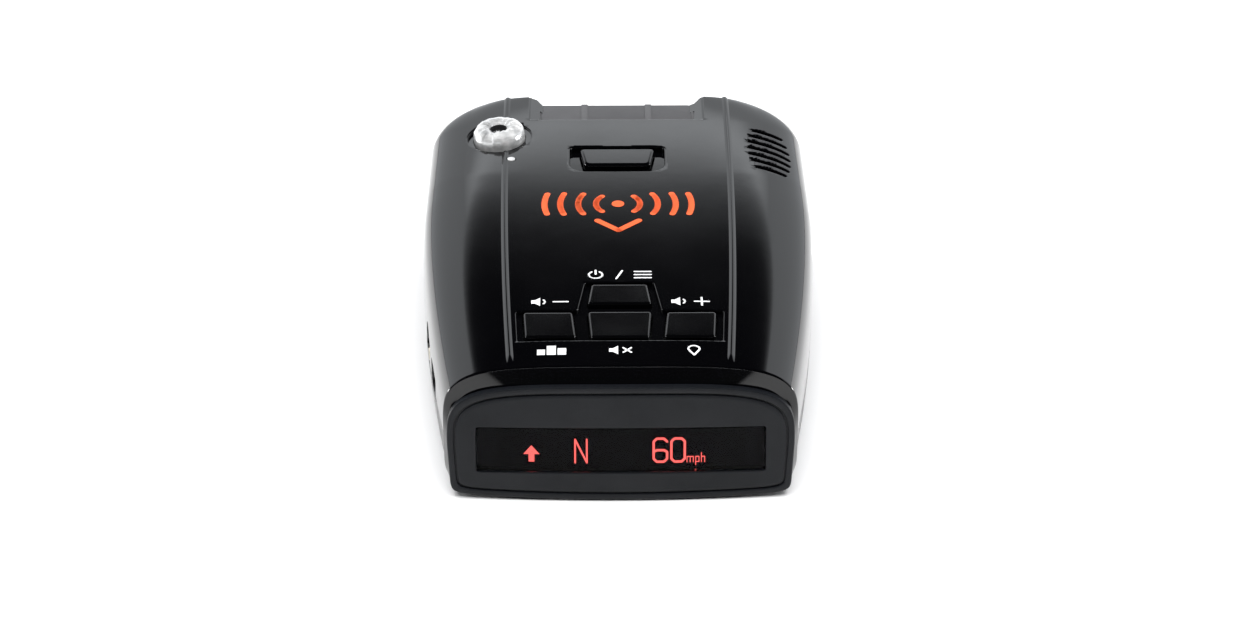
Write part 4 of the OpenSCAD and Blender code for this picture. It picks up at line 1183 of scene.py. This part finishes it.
def moved(shapes, dx, dy):
    return [[(p[0] + dx, p[1] + dy) for p in shape] for shape in shapes]


def key_icons():
    """Generic signs beside the keys, in three rows."""
    w, first, second, third = 0.36, -17.2, -26.6, -43
    speaker = [box(-1.3, -0.55, -0.6, 0.55), [(-0.65, -0.55), (0.3, -1.35), (0.3, 1.35), (-0.65, 0.55)]]
    sounding = speaker + arc(0.2, 0, 0.95, -42, 42, 0.34, 5)
    power = arc(0, 0, 1.25, 125, 415, w, 12) + path([(0, 0.2), (0, 1.6)], w)
    menu = [line for v in (1.1, 0, -1.1) for line in path([(-1.5, v), (1.5, v)], w)]
    slash = path([(-0.55, -1.4), (0.55, 1.4)], w)
    minus = path([(-1.3, 0), (1.3, 0)], w)
    plus = minus + path([(0, -1.3), (0, 1.3)], w)
    skyline = [box(-2.6, -1.4, -1.2, 0.3), box(-0.9, -1.4, 0.7, 1.5), box(1.0, -1.4, 2.5, 0.7)]
    muted = speaker + path([(1.2, -0.75), (2.6, 0.75)], w) + path([(1.2, 0.75), (2.6, -0.75)], w)
    pin = arc(0, 0.45, 1.0, -40, 220, w, 12) + path([(-0.78, -0.18), (0, -1.6), (0.78, -0.18)], w)
    rows = [
        (power, -4.3, first), (slash, 0, first), (menu, 4.3, first), (sounding, -14.6, second),
        (minus, -10.6, second), (sounding, 10.6, second), (plus, 14.8, second), (skyline, -12, third),
        (muted, -0.7, third), (pin, 12.9, third),
    ]
    return [shape for icon, dx, dy in rows for shape in moved(icon, dx, dy)]


PRINT_LOW, PRINT_HIGH = -0.02, 0.03
flat_shape(key_icons(), on_plan, PRINT_LOW, PRINT_HIGH, "key_legends", WHITE_PRINT, "gloss_black")


def wave_mark():
    """Generic mark: waves spreading from a dot, over a short chevron."""
    dot_y, width = 9.2, 1.15
    shapes = [stroke((0, dot_y), (0, dot_y + 0.01), 2.4, 16)]
    for r, span in ((4.2, 44), (7.6, 30), (11.0, 21), (14.0, 16)):
        shapes += arc(0, dot_y, r, -span, span, width, 9) + arc(0, dot_y, r, 180 - span, 180 + span, width, 9)
    return shapes + path([(-3.9, 2.8), (0, -0.9), (3.9, 2.8)], 1.25)


flat_shape(wave_mark(), on_plan, PRINT_LOW, PRINT_HIGH, "wave_mark", ORANGE_PRINT, "gloss_black")
